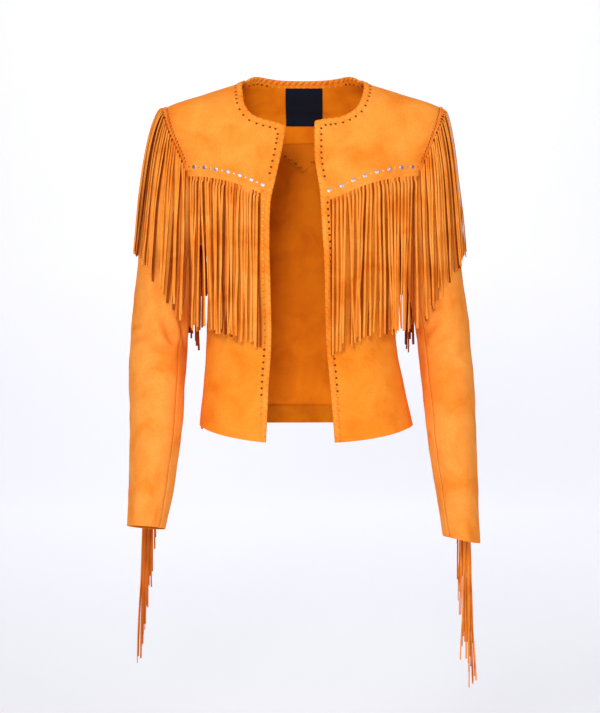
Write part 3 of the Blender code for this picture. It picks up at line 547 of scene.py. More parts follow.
def panel_side(side, first_turn, last_turn, split, share):
    """Side edge of a panel below its yoke: along the armhole, then down the side seam."""
    if share < split:
        return armhole_place(side, mix(first_turn, last_turn, share / split))
    return side_place(side, (share - split) / (1 - split))


for side in (RIGHT, LEFT):
    low, end = yoke_corner_height(side), front_corner_height(side)
    corner_angle = front_place(side, front_edge(side, end, EDGE_INSET))[0]

    def front_hem(s):
        angle = mix(corner_angle, side * SIDE_SEAM_AT_HEM, s)
        return angle, hem_height(angle)

    grid = patch(
        lambda s: front_place(side, front_yoke_edge(side, s, EDGE_INSET)),
        front_hem,
        lambda t: front_place(side, front_edge(side, mix(low, end, t), EDGE_INSET)),
        lambda t: panel_side(side, QUARTER, math.pi - 0.001, 0.30, t),
        columns=44, rows=90, by_height=True,
    )
    points, normals = on_body(grid)
    surfaces.append((points, normals))
    front = cloth_piece("front_cloth_" + SIDE_NAMES[side], points, normals,
                        body_suede, inner_suede)
    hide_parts("front_" + SIDE_NAMES[side])

# Back yoke and back: the yoke ends in a point between the shoulder blades. The back below it
# is one wide panel that runs round to the side seams.

BACK_YOKE_LINE = (
    # distance from the middle, height
    (0, -120), (15, -108.5), (32, -98), (60, -88.5), (100, -82.5), (140, -80.5), (195, -80),
)
BACK_YOKE_TURN = math.radians(300)
BACK_NECKLINE = (
    # distance from the middle, height
    (0, 12), (30, 12.5), (52, 14.5), (68, 16.8), (77, 15.4), (82, 11.5), (84, 8),
)


def back_neck(side_share, inset):
    """Back neckline as distance and height, from the left side of the neck to the right."""
    start = NECK_SIDE_X + inset
    x = start * math.cos(math.pi * side_share)
    ends = abs(x) / start
    z = profile(BACK_NECKLINE, 1, abs(x) * NECK_SIDE_X / start) - inset
    return x, mix(z, shoulder_height(start), ends ** 10)


def back_yoke_edge(share):
    last, end = armhole_line(LEFT, BACK_YOKE_TURN)
    x = mix(last, -last, share)
    return x, mix(profile(BACK_YOKE_LINE, 1, abs(x)), end, abs(2 * share - 1) ** 12)


shoulder = NECK_SIDE_X + EDGE_INSET
yoke_top = [(x, shoulder_height(x)) for x in (mix(SHOULDER_TIP, shoulder, k / 20) for k in range(21))]
yoke_top += [back_neck(k / 40, EDGE_INSET) for k in range(1, 40)]
yoke_top += [(-x, z) for x, z in yoke_top[20::-1]]
grid = patch(
    lambda s: along(yoke_top, s),
    back_yoke_edge,
    lambda t: armhole_line(LEFT, mix(2 * math.pi - 1e-6, BACK_YOKE_TURN, t)),
    lambda t: armhole_line(RIGHT, mix(2 * math.pi - 1e-6, BACK_YOKE_TURN, t)),
    columns=110, rows=34,
)
top_row = grid[0]
grid = as_angles(grid, False)
for k, (x, z) in enumerate(top_row):
    if abs(x) >= shoulder - 1:
        grid[0][k] = (QUARTER if x > 0 else 3 * QUARTER, z)
points, normals = on_body(grid)
surfaces.append((points, normals))
points = lapped(points, normals, 5)
back_yoke = cloth_piece("back_yoke_cloth", points, normals, yoke_suede, inner_suede)
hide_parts("back_yoke")


def back_side(side, share):
    """Side edge of the back: down the back of the armhole, then the side seam."""
    angle, z = panel_side(side, BACK_YOKE_TURN, math.pi + 0.001, 0.34, share)
    return angle + full_turn(side), z


def back_hem(s):
    angle = mix(SIDE_SEAM_AT_HEM, 2 * math.pi - SIDE_SEAM_AT_HEM, s)
    return angle, hem_height(angle)


grid = patch(
    lambda s: back_place(*back_yoke_edge(s)),
    back_hem,
    lambda t: back_side(LEFT, t),
    lambda t: back_side(RIGHT, t),
    columns=110, rows=90, by_height=True,
)
points, normals = on_body(grid)
surfaces.append((points, normals))
back = cloth_piece("back_cloth", points, normals, body_suede, inner_suede)
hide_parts("back")

# Sleeves: set into the armhole and cut in an upper and an under half, with one seam down the
# front and one down the back, where the elbow bends.

SLEEVE_SECTIONS = (
    # height, distance from the middle, forward (-) or back (+), half width, half depth, forward lean
    (-238, 194.0, 2, 42.5, 61, 0.00),
    (-290, 199.0, 4, 42.5, 59, 0.00),
    (-353, 206.0, 3, 41.5, 56, 0.06),
    (-410, 208.5, -4, 40.5, 53, 0.16),
    (-480, 209.0, -19, 38.0, 50, 0.22),
    (-560, 213.0, -38, 33.0, 46, 0.23),
    (-629, 218.5, -55, 27.0, 42, 0.23),
)
SLEEVE_TOP, CUFF = SLEEVE_SECTIONS[0][0], SLEEVE_SECTIONS[-1][0]
SLEEVE_WIDTH_FACTOR = {RIGHT: 1.0, LEFT: 0.94}
SLEEVE_CUFF_DROP = {RIGHT: 0.0, LEFT: 17.0}
SLEEVE_CUFF_SLANT = {RIGHT: -2.0, LEFT: 5.0}
SLEEVE_LEAN_FACTOR = {RIGHT: 0.85, LEFT: 0.45}
SLEEVE_SHIFT = {
    # height, how much further from the middle
    RIGHT: ((-238, 0), (-290, 0), (-480, 1), (-629, 3)),
    LEFT: ((-238, -8), (-290, -7), (-353, -4), (-410, -1), (-480, 3), (-560, 5), (-629, 6)),
}
CAP_DIRECTION = {
    # outward and downward at the top of the shoulder
    RIGHT: (0.8, -0.4),
    LEFT: (0.45, -0.6),
}
SEAM_GROOVE, SEAM_WIDTH = 1.3, 2.2
FRONT_SEAM, BACK_SEAM = math.radians(140), math.radians(280)
BACK_SEAM_SHIFT = {RIGHT: (-8, 10), LEFT: (8, 20)}
MM_PER_DEGREE = 0.85
RIDGE_AWAY, RIDGE_SHARE = 1.8, 0.35
SLOW_RIPPLE, SLOW_RIPPLE_DEPTH = 1.7, 1.5
QUICK_RIPPLE, QUICK_RIPPLE_DEPTH = 2.5, 0.8
UNDERARM_OUTWARD, UNDERARM_DOWNWARD = 0.35, -0.95
SEAM_STEP = 0.4
SLEEVE_FOLDS = {
    # start turn, start height, end turn, end height, depth, width
    RIGHT: (
        (74, -246, 96, -330, 5.6, 9), (96, -330, 128, -374, 6.6, 8), (30, -366, 76, -362, 4.6, 5),
        (76, -378, 128, -384, 4.6, 5), (20, -348, 60, -344, 2.4, 4), (138, -330, 160, -372, 5.4, 6),
        (60, -404, 120, -412, 1.6, 6), (40, -436, 100, -446, 1.3, 7),
    ),
    LEFT: (
        (70, -352, 130, -384, 4.8, 7), (95, -330, 134, -350, 3.8, 6), (60, -404, 120, -420, 3.0, 7),
        (80, -300, 130, -322, 2.2, 7), (40, -372, 96, -396, 2.2, 5), (50, -470, 110, -480, 1.6, 8),
        (30, -430, 80, -446, 1.8, 6),
    ),
}


def arm_point(side, turn, z):
    """Point on the sleeve below the arm, on a ring that leans with the forearm."""
    share = (z - SLEEVE_TOP) / (CUFF - SLEEVE_TOP)
    here = Vector((math.degrees(turn) % 360 * MM_PER_DEGREE, z))
    pressed = 0.0
    for start_turn, start_z, end_turn, end_z, depth, width in SLEEVE_FOLDS[side]:
        start = Vector((start_turn * MM_PER_DEGREE, start_z))
        run = Vector((end_turn * MM_PER_DEGREE, end_z)) - start
        part = (here - start).dot(run) / run.length_squared
        fade = min(1.0, max(0.0, 1.35 - abs(2 * part - 1)))
        away = (here - start - run * min(1.0, max(0.0, part))).length
        ridge = math.exp(-((away - RIDGE_AWAY * width) / width) ** 2)
        pressed += depth * fade * (math.exp(-(away / width) ** 2) - RIDGE_SHARE * ridge)
    from_seam = abs((turn - FRONT_SEAM + math.pi) % (2 * math.pi) - math.pi)
    pressed += SEAM_GROOVE * math.exp(-(math.degrees(from_seam) * MM_PER_DEGREE / SEAM_WIDTH) ** 2)
    sleeve_width = profile(SLEEVE_SECTIONS, 3, z) * SLEEVE_WIDTH_FACTOR[side] - pressed
    sleeve_depth = profile(SLEEVE_SECTIONS, 4, z) - pressed
    round_turn = Vector((math.cos(turn), math.sin(turn), z * 0.012 + side * 9))
    quick_turn = Vector((round_turn.x * QUICK_RIPPLE, round_turn.y * QUICK_RIPPLE, z * 0.045))
    ripple = noise.noise(round_turn * SLOW_RIPPLE) * SLOW_RIPPLE_DEPTH
    ripple += noise.noise(quick_turn) * QUICK_RIPPLE_DEPTH
    x = profile(SLEEVE_SECTIONS, 1, z) + profile(SLEEVE_SHIFT[side], 1, z)
    x += (sleeve_width + ripple) * math.cos(turn)
    back = -(sleeve_depth + ripple) * math.sin(turn)
    height = z - profile(SLEEVE_SECTIONS, 5, z) * SLEEVE_LEAN_FACTOR[side] * back
    height -= (SLEEVE_CUFF_DROP[side] + SLEEVE_CUFF_SLANT[side] * math.cos(turn)) * max(0.0, share)
    return Vector((side * x, profile(SLEEVE_SECTIONS, 2, z) + back, height))


def armhole_point(side, turn):
    place = armhole_place(side, turn % (2 * math.pi))
    return body_point(*place), body_normal(*place)


def cap_start(side, turn):
    """Where the sleeve leaves the armhole, and in which direction."""
    edge, normal = armhole_point(side, turn)
    upward = 0.5 + 0.5 * math.cos(turn)
    outward, downward = CAP_DIRECTION[side]
    across = side * mix(UNDERARM_OUTWARD, outward, upward)
    height = mix(UNDERARM_DOWNWARD, downward, upward)
    direction = Vector((across, -0.35 * math.sin(turn), height)).normalized()
    return edge + (direction + normal).normalized() * SEAM_STEP, direction


def cap_curve(side, turn):
    """Ends and end directions of the curve that a sleeve follows over its cap."""
    start, direction = cap_start(side, turn)
    end = arm_point(side, turn, SLEEVE_TOP)
    down = (arm_point(side, turn, SLEEVE_TOP - 4) - end).normalized()
    reach = (end - start).length
    upward = 0.5 + 0.5 * math.cos(turn)
    return start, end, direction * reach * mix(0.9, 0.34, upward), down * reach * 1.05


def cap_point(curve, u):
    start, end, leave, arrive = curve
    return (
        start * ((1 + 2 * u) * (1 - u) ** 2) + leave * (u * (1 - u) ** 2)
        + end * (u * u * (3 - 2 * u)) + arrive * (u * u * (u - 1))
    )


def sleeve_point(side, turn, place):
    """Point on a sleeve; place runs over the cap from 0 to 1 and then down the arm to 2."""
    if place >= 1:
        return arm_point(side, turn, mix(SLEEVE_TOP, CUFF, place - 1))
    return cap_point(cap_curve(side, turn), place)


def sleeve_normal(side, turn, place):
    step = 0.012
    low = min(max(0.05, place - step), 2 - 2 * step)
    around = sleeve_point(side, turn + step, place) - sleeve_point(side, turn - step, place)
    down = sleeve_point(side, turn, low + 2 * step) - sleeve_point(side, turn, low)
    return (around.cross(down) * side).normalized()


def sleeve_turn(side, turn, place):
    """Turn of a sleeve's column; the back seam wanders from the armhole to the cuff."""
    elbow_shift, cuff_shift = BACK_SEAM_SHIFT[side]
    shift = elbow_shift * place if place <= 1 else mix(elbow_shift, cuff_shift, place - 1)
    if turn <= FRONT_SEAM:
        share = (FRONT_SEAM - turn) / (FRONT_SEAM - BACK_SEAM + 2 * math.pi)
    else:
        share = (turn - FRONT_SEAM) / (BACK_SEAM - FRONT_SEAM)
    return turn + math.radians(shift) * share


sleeve_surfaces = {RIGHT: [], LEFT: []}
SLEEVE_HALVES = (
    # name, first turn, last turn, columns, flat width, flat area
    ("upper_sleeve", BACK_SEAM - 2 * math.pi, FRONT_SEAM, 96, 0.20, 0.106),
    ("under_sleeve", FRONT_SEAM, BACK_SEAM, 60, 0.13, 0.056),
)
for side in (RIGHT, LEFT):
    for kind, first, last, columns, width, area in SLEEVE_HALVES:
        places = [0.03 * k for k in range(33)] + [0.99 + 0.0101 * k for k in range(101)]
        points, normals = [], []
        for place in places:
            turns = [sleeve_turn(side, mix(first, last, j / columns), place) for j in range(columns + 1)]
            points.append([sleeve_point(side, turn, min(2.0, place)) for turn in turns])
            normals.append([sleeve_normal(side, turn, min(2.0, place)) for turn in turns])
        sleeve_surfaces[side].append((points, normals))
        name = kind + "_" + SIDE_NAMES[side]
        sleeve = cloth_piece(name + "_cloth", points, normals, sleeve_suede, inner_suede)
        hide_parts(name)

# Chest fringe: under each yoke edge hangs one strip of suede that is slit into strands of
# about 3.5 mm, in two layers. The rough underside of the suede is darker than its nap; the mid and dark
# strand tones also paint the shade between and behind the strands.

FRINGE_LENGTH, FRINGE_THICK, STRAND_WIDTH = 213.0, 1.3, 3.6
STRAND_SECTION = (
    # share of the half width, share of the thickness; the outer side is softly crowned
    (-1.0, -0.25), (-0.62, 0.38), (0.0, 0.62), (0.62, 0.38), (1.0, -0.25), (0.0, -0.5),
)
OUTER_FACES = 4
# Shares of strand tones: the front layer is mostly the lit tone, the back layer mostly painted shade in the
# mid and dark tones.
FRONT_LIGHT, BACK_LIGHT, BACK_SHADE = 0.93, 0.15, 0.6
LEAVE_LENGTH, STRAND_STEP, CLOTH_REACH = 4.0, 5.0, 25
PLACE_JITTER, STRAND_FILL, WIDTH_RANGE = 0.12, 0.86, (0.76, 1.06)
CLEARANCE_RANGES = ((0.5, 1.6), (2.6, 5.6))
SIDE_LEAN, DEPTH_LEAN, TWIST = 0.018, 0.004, 0.6
WAVE_RANGES = ((0, 0.035), (14, 34), (0, 6.3))
LENGTH_RANGE = (-5, 4)
STRIP_HIDDEN, STRIP_HEIGHT = 3, 9.5


def fall(start, leave, length, trees, clearance, drift, wave):
    """Points of a strand that leaves its strip and falls, held off the cloth below it."""
    here = start + leave * LEAVE_LENGTH
    points = [start, start + leave * (LEAVE_LENGTH / 2), here]
    fallen = LEAVE_LENGTH
    while fallen < length:
        step = min(STRAND_STEP, length - fallen + 0.01)
        turn = fallen / wave[1] + wave[2]
        there = here + (DOWN + drift + Vector((math.cos(turn) * wave[0], 0, 0))) * step
        for tree in trees:
            location, normal, _, distance = tree.find_nearest(there)
            height = (there - location).dot(normal)
            if distance < CLOTH_REACH and height < clearance:
                there += normal * (clearance - height)
        fallen += (there - here).length
        points.append(there)
        here = there
    return points


def add_strand(vertices, faces, path, across, outward, width, twist):
    """Soft cut strand along a path; it turns slowly about its own length as it falls."""
    first, sides = len(vertices), len(STRAND_SECTION)
    if across.cross(DOWN).dot(outward) < 0:
        across = -across
    for k, centre in enumerate(path):
        turn = twist * (k / (len(path) - 1)) ** 1.3
        flat = Vector((across.x, across.y, across.z if k == 0 else 0.0)).normalized()
        run = (path[min(len(path) - 1, k + 1)] - path[max(0, k - 1)]).normalized()
        out = flat.cross(run).normalized()
        wide = (flat * math.cos(turn) + out * math.sin(turn)) * (width / 2)
        thick = (out * math.cos(turn) - flat * math.sin(turn)) * FRINGE_THICK
        vertices += [centre + wide * s + thick * t for s, t in STRAND_SECTION]
    faces += tube_faces(first, len(path), sides)


def surface_tree(points, normals):
    """Search tree of a cloth surface with its faces turned outwards."""
    rows, columns = len(points), len(points[0])
    faces = [(i * columns + j, i * columns + j + 1, (i + 1) * columns + j + 1, (i + 1) * columns + j)
             for i in range(rows - 1) for j in range(columns - 1)]
    i, j = rows // 2, columns // 2
    if (points[i][j + 1] - points[i][j]).cross(points[i + 1][j] - points[i][j]).dot(normals[i][j]) < 0:
        faces = [face[::-1] for face in faces]
    return BVHTree.FromPolygons([point for row in points for point in row], faces)


def fringe_piece(name, station, low, high, count, trees, rough, layers, replaced, lean=0.0, under=2,
                 full=FRINGE_LENGTH, sway=0.0):
    """Slit strip and its strands; station gives strip edges, way through it and way out of it."""
    vertices, faces, kinds = [], [], []
    dense = 2 * count
    for k in range(dense + 1):
        upper, lower, through, _ = station(mix(low, high, k / dense))
        vertices += [upper, upper + through * FRINGE_THICK, lower + through * FRINGE_THICK, lower]
    faces += tube_faces(0, dense + 1, 4)
    kinds += [0] * len(faces)
    for layer in range(layers):
        front_layer = layer == layers - 1
        for k in range(count):
            place = (k + 0.5 + 0.5 * layer + rough.uniform(-PLACE_JITTER, PLACE_JITTER)) / count
            if place > 1 - 0.3 / count:
                continue
            _, lower, through, leave = station(mix(low, high, place))
            _, beside, _, _ = station(mix(low, high, place + 0.5 / count))
            across = beside - lower
            width = min(STRAND_WIDTH, 2 * across.length * STRAND_FILL) * rough.uniform(*WIDTH_RANGE)
            clearance = FRINGE_THICK / 2 + rough.uniform(*CLEARANCE_RANGES[layer])
            sideways = rough.gauss(0, SIDE_LEAN) + leave.x * lean + sway
            drift = Vector((sideways, rough.gauss(0, DEPTH_LEAN), 0))
            wave = [rough.uniform(*limits) for limits in WAVE_RANGES]
            length = full + rough.uniform(*LENGTH_RANGE)
            root = lower + through * (FRINGE_THICK / 2 + layer * 0.4)
            path = fall(root, leave, length, trees, clearance, drift, wave)
            before = len(faces)
            add_strand(vertices, faces, path, across, through, width, rough.gauss(0, TWIST))
            # Tone of each strand: lit nap, painted shade or dark underside. The back layer mostly gets the
            # painted-shade tones, and the undersides are partly the real rough side and partly painted
            # shade.
            chance = rough.random()
            if front_layer:
                tone = 0 if chance < FRONT_LIGHT else 1
            else:
                tone = 0 if chance < BACK_LIGHT else 1 if chance < BACK_SHADE else 2
            strip = [tone] * OUTER_FACES + [under] * (len(STRAND_SECTION) - OUTER_FACES)
            kinds += strip * ((len(faces) - before - 2) // len(STRAND_SECTION)) + [tone, tone]
    tones = (fringe_suede, fringe_painted_shade, fringe_underside_and_painted_shade)
    piece = mesh_piece(name, vertices, faces, tones, kinds)
    shaped = bmesh.new()
    shaped.from_mesh(piece.data)
    bmesh.ops.recalc_face_normals(shaped, faces=shaped.faces)
    shaped.to_mesh(piece.data)
    shaped.free()
    piece.data.set_sharp_from_angle(angle=math.radians(60))
    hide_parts(replaced)
    return piece


def yoke_station(line, side, front):
    """Strip that hangs on the body from a yoke's lower edge, at a distance from the middle."""
    def station(x):
        here = side if side else (LEFT if x >= 0 else RIGHT)
        top = profile(line, 1, abs(x)) + STRIP_HIDDEN
        places = [(body_angle(here, x, z, front), z) for z in (top, top - STRIP_HEIGHT)]
        upper, lower = [lifted(place, lift) for place, lift in zip(places, (0.3, 1.2))]
        through = body_normal(*places[1])
        through = Vector((through.x, through.y, 0)).normalized()
        return upper, lower, through, DOWN
    return station


# Fringe tones: the lit nap; a darker copy of it that is painted shade; and a dark underside that is partly
# the real rough side and partly painted shade.
fringe_suede = suede("fringe suede", (0.97, 0.34, 0.055), (0.93, 0.275, 0.030), (0.84, 0.20, 0.014), 0.8)
fringe_painted_shade = suede("fringe painted shade", (0.76, 0.19, 0.018), (0.66, 0.145, 0.012), (0.55, 0.105, 0.007), 0.8)
fringe_underside_and_painted_shade = suede("fringe underside and painted shade", (0.36, 0.065, 0.006), (0.28, 0.045, 0.004),
                         (0.20, 0.03, 0.003), 0.8)
body_trees = [surface_tree(*surface) for surface in surfaces]
CHEST_START, CHEST_END, CHEST_STRANDS = {RIGHT: 57.5, LEFT: 36.0}, 160.0, 24
for side in (RIGHT, LEFT):
    station = yoke_station(FRONT_YOKE_LINE, side, True)
    fringe = fringe_piece("chest_fringe_strands_" + SIDE_NAMES[side], station, side * CHEST_START[side],
                          side * CHEST_END, CHEST_STRANDS, body_trees, random.Random(11 + side),
                          layers=2, replaced="chest_fringe_" + SIDE_NAMES[side])

# Back fringe: the same slit strip under the whole pointed edge of the back yoke.

BACK_FRINGE_END, BACK_STRANDS = 163.5, 74
fringe = fringe_piece("back_fringe_strands", yoke_station(BACK_YOKE_LINE, 0, False), -BACK_FRINGE_END,
                      BACK_FRINGE_END, BACK_STRANDS, body_trees, random.Random(5),
                      layers=2, replaced="back_fringe")

# Armhole fringe: caught in the armhole seam from the back over the shoulder to the front, and
# hanging over the top of the sleeve.

ARMHOLE_STRANDS, ARMHOLE_STRIP, ARMHOLE_LIFTS = 46, (0.3, 2.0), (0.3, 1.0)


def armhole_station(side):
    """Strip in the armhole seam, at a turn round the armhole."""
    def station(turn):
        curve = cap_curve(side, turn)
        per_place = (cap_point(curve, 0.02) - curve[0]).length / 0.02
        places = [away / per_place for away in ARMHOLE_STRIP]
        normals = [sleeve_normal(side, turn, place) for place in places]
        upper, lower = [cap_point(curve, place) + normal * lift
                        for place, normal, lift in zip(places, normals, ARMHOLE_LIFTS)]
        return upper, lower, normals[1], ((lower - upper).normalized() + normals[1] * 0.5).normalized()
    return station


def armhole_turns(side):
    """Turn for each share of the way along the seam, evenly spread as seen from above."""
    turns = [math.radians(k) for k in range(-120, 95, 3)]
    line = [armhole_point(side, turn)[0] for turn in turns]
    lengths = [0.0]
    for a, b in zip(line, line[1:]):
        lengths.append(lengths[-1] + math.hypot(b.x - a.x, b.y - a.y) + 0.12 * abs(b.z - a.z))
    rows = list(zip(lengths, turns))
    return lambda share: profile(rows, 1, lengths[-1] * share)


sleeve_trees = {side: [surface_tree(*surface) for surface in sleeve_surfaces[side]]
                for side in (RIGHT, LEFT)}
for side in (RIGHT, LEFT):
    turn_at, place_at = armhole_turns(side), armhole_station(side)
    fringe = fringe_piece("armhole_fringe_strands_" + SIDE_NAMES[side],
                          lambda share: place_at(turn_at(share)), 0.0, 1.0, ARMHOLE_STRANDS,
                          sleeve_trees[side], random.Random(21 + side),
                          layers=2, replaced="armhole_fringe_" + SIDE_NAMES[side], lean=0.10)

# Sleeve fringe: caught in the back seam of each sleeve from the elbow down to the cuff.

SLEEVE_FRINGE, SLEEVE_STRANDS = {RIGHT: (-381.0, -606.0), LEFT: (-391.0, -614.0)}, 58
SLEEVE_FRINGE_LENGTH = {RIGHT: 220.0, LEFT: 237.0}
SLEEVE_FRINGE_SWAY = {RIGHT: -0.028, LEFT: 0.022}


def sleeve_station(side):
    """Strip in a sleeve's back seam, at a height."""
    def station(z):
        place = 1 + (z - SLEEVE_TOP) / (CUFF - SLEEVE_TOP)
        turn = sleeve_turn(side, BACK_SEAM, place)
        seam = sleeve_point(side, turn, place)
        normal = sleeve_normal(side, turn, place)
        down = (sleeve_point(side, turn, place + 0.01) - seam).normalized()
        through = normal.cross(down).normalized()
        seam = seam + normal * 0.2 - through * FRINGE_THICK / 2
        outward = Vector((normal.x, normal.y, 0)).normalized()
        return seam, seam + normal * 4, through, (outward * 0.5 + DOWN).normalized()
    return station


for side in (RIGHT, LEFT):
    top, bottom = SLEEVE_FRINGE[side]
    # The sleeve fringe's undersides take the mid painted-shade tone instead of the dark one.
    fringe = fringe_piece("sleeve_fringe_strands_" + SIDE_NAMES[side], sleeve_station(side), top, bottom,
                          SLEEVE_STRANDS, sleeve_trees[side], random.Random(31 + side),
                          layers=1, replaced="sleeve_fringe_" + SIDE_NAMES[side],
                          under=1, full=SLEEVE_FRINGE_LENGTH[side], sway=SLEEVE_FRINGE_SWAY[side])

# Laced edges: a flat suede lace is whipped over the neckline and the two front edges, from
# punched hole to punched hole, so that the edge looks rolled. The turns lie side by side.

LACE_PITCH, HOLE_INSET, EDGE_STEP = 9.0, 9.6, 0.75


def walk(place, direction, distance, steps=3):
    """Place on the body reached by going straight over its surface in a direction."""
    angle, z = place
    part = distance / steps
    for _ in range(steps):
        here = plain_body(angle, z)
        by_angle = (plain_body(angle + 0.004, z) - here) / 0.004
        by_height = (plain_body(angle, z + 0.3) - here) / 0.3
        a, b, c = by_angle.length_squared, by_angle.dot(by_height), by_height.length_squared
        p, q = by_angle.dot(direction), by_height.dot(direction)
        size = a * c - b * b
        angle += part * (p * c - q * b) / size
        z += part * (q * a - p * b) / size
    return angle, z


def spaced(places, pitch, soften=0):
    """Places spread evenly along a line of places, with its corners softened."""
    lengths = run_lengths([plain_body(*place) for place in places], straight)
    count = round(lengths[-1] / pitch)
    result, i = [], 0
    for k in range(count + 1):
        target = lengths[-1] * k / count
        while i < len(places) - 2 and lengths[i + 1] < target:
            i += 1
        part = (target - lengths[i]) / max(1e-6, lengths[i + 1] - lengths[i])
        result.append(tuple(mix(a, b, min(1, part)) for a, b in zip(places[i], places[i + 1])))
    for _ in range(soften):
        inner = [tuple((a[j] + 2 * b[j] + c[j]) / 4 for j in (0, 1))
                 for a, b, c in zip(result, result[1:], result[2:])]
        result = [result[0], *inner, result[-1]]
    return result


edge = []
for side in (LEFT, RIGHT):
    line = neckline(side, 0)
    corner, end = line[-1][1], front_corner_height(side)
    line += [front_edge(side, mix(corner, end, k / 60), 0) for k in range(1, 61)]
    edge.append([(body_angle(side, x, z, True) + full_turn(side), z) for x, z in line])
back_line = [back_place(*back_neck(k / 40, 0)) for k in range(1, 40)]
edge = spaced(edge[0][::-1] + back_line + edge[1], EDGE_STEP, soften=16)
edge_points = [body_point(*place) for place in edge]
edge_lengths = run_lengths(edge_points, straight)
edge_normals = [body_normal(*place) for place in edge]
edge_inward = []
for k, normal in enumerate(edge_normals):
    run = edge_points[min(len(edge) - 1, k + 2)] - edge_points[max(0, k - 2)]
    edge_inward.append(run.normalized().cross(normal).normalized())

# Darker material for the valleys between the lace turns and for the seam lines: partly the lace's darker
# cut edges, partly painted shade in the grooves.
cut_edge_and_groove_shade = suede("cut edge and painted groove shade", (0.74, 0.19, 0.016), (0.68, 0.165, 0.012), (0.58, 0.13, 0.008), 0.6)
WRAP = ((8.4, 0.0), (7.8, 0.8), (6.2, 1.5), (4.4, 1.8), (2.6, 1.8), (1.1, 1.5), (0.1, 0.8))
LACE_LEAN, LACE_BACK_FROM = 0.085, -20
LACE_RIDGE = {True: 0.9, False: 0.5}
LACE_VALLEY = {True: 0.5, False: 0.275}
vertices, faces, kinds = [], [], []
for k, place in enumerate(edge):
    at_back = edge_points[k].y > LACE_BACK_FROM
    ridge, valley = LACE_RIDGE[at_back], LACE_VALLEY[at_back]
    ring, turns = [], []
    for outer in (True, False):
        section = WRAP if outer else WRAP[::-1]
        for inset, rise in section:
            phase = (edge_lengths[k] / LACE_PITCH + (inset if outer else -inset) * LACE_LEAN) % 1
            turn = abs(math.sin(math.pi * phase)) ** 0.8
            lift = 0.1 + rise * (1 - ridge + ridge * turn)
            point, normal = body_point(*walk(place, edge_inward[k], inset)), edge_normals[k]
            ring.append(point + normal * lift if outer else point - normal * (WALL + lift))
            turns.append(turn)
    count = len(ring)
    vertices += ring
    if k:
        faces += tube_faces(len(vertices) - 2 * count, 2, count, capped=False)
        # Faces in the valleys between the lace turns take the darker material: the cut edges of the lace
        # and painted shade.
        kinds += [1 if turns[i] + turns[(i + 1) % count] < 2 * valley else 0 for i in range(count)]
faces += [tuple(range(count)), tuple(len(vertices) - 1 - i for i in range(count))]
kinds += [0, 0]
lacing = mesh_piece("edge_lacing", vertices, faces, (yoke_suede, cut_edge_and_groove_shade), kinds)
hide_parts("front_edge_lacing_right", "front_edge_lacing_left", "neck_edge_lacing")

# The dark disc in each punched hole is painted shade; the pale disc is a painted glint in the lit holes of
# the right front and painted backdrop light seen through the holes at the back of the neck.
hole_painted_shade = plain_material("punched hole", (0.13, 0.028, 0.002), 1.0)
hole_painted_glint = suede("painted glint in a hole", (1.0, 0.50, 0.20), (1.0, 0.44, 0.14), (0.98, 0.36, 0.09), 0.4)
LIT_HOLES_BELOW, LIT_HOLES_ABOVE, FADED_HOLES_ABOVE = -158.0, -262.0, -370.0
FAINT_HOLES_BELOW, LAST_HOLE = -440.0, -472.0
LIT_AT_BACK_FROM, LIT_AT_BACK_TO = -52, 60
LIT_SIZE, FADED_SIZE = 0.62, 0.4
FIRST_HOLE, CROWDED = 0.8 * LACE_PITCH, 0.72 * LACE_PITCH
FACING_DEPTH = 3.4
HOLE = ((1.95, -0.1, 0), (1.7, 0.3, 0), (1.38, 0.22, 1), (0.0, 0.14, 1))
vertices, faces, kinds = [], [], []


def add_lathe(vertices, faces, kinds, centre, normal, rows, sides, stretch=1.0):
    """Turned shape standing on a surface: rows of radius, height and material."""
    across = normal.orthogonal().normalized()
    over = normal.cross(across)
    first = len(vertices)
    for radius, height, _ in rows:
        for i in range(sides):
            turn = 2 * math.pi * i / sides
            spread = across * math.cos(turn) + over * math.sin(turn) * stretch
            vertices.append(centre + spread * radius + normal * height)
    faces += tube_faces(first, len(rows), sides, capped=False)
    for _, _, kind in rows[1:]:
        kinds += [kind] * sides


target, last_point = FIRST_HOLE, Vector((0, 0, 99))
for k in range(1, len(edge)):
    spot = walk(edge[k], edge_inward[k], HOLE_INSET)
    point, normal = body_point(*spot), body_normal(*spot)
    if edge_lengths[k] < target or straight(last_point, point) < CROWDED:
        continue
    target, last_point = max(target, edge_lengths[k] - LACE_PITCH / 2) + LACE_PITCH, point
    at_back = point.y > 0
    lit_at_front = point.x < 0 and LIT_HOLES_ABOVE < point.z < LIT_HOLES_BELOW
    shape = HOLE
    # Lit holes get a smaller pale disc: a painted glint at the front and painted backdrop light through the
    # holes at the back of the neck.
    if lit_at_front or at_back and LIT_AT_BACK_FROM < point.x < LIT_AT_BACK_TO:
        shape = [(radius * LIT_SIZE, height, 2) for radius, height, _ in HOLE]
    elif FADED_HOLES_ABOVE < point.z < LIT_HOLES_ABOVE and point.x < 0 or point.z < FAINT_HOLES_BELOW:
        shape = [(radius * FADED_SIZE, height, kind) for radius, height, kind in HOLE]
    if point.z < LAST_HOLE:
        continue
    add_lathe(vertices, faces, kinds, point, normal, shape, sides=10)
    inner = FACING_DEPTH if at_back else WALL
    add_lathe(vertices, faces, kinds, point - normal * inner, -normal, shape, sides=10)
mesh_piece("lacing_holes", vertices, faces, (yoke_suede, hole_painted_shade, hole_painted_glint), kinds)

# Studs: flat domed nickel studs in turn large and small, pressed through the yokes just above
# their lower edges, with the prongs folded over on the inner side.

metal = plain_material("nickel studs", (0.50, 0.43, 0.46), 0.42, metallic=1.0)
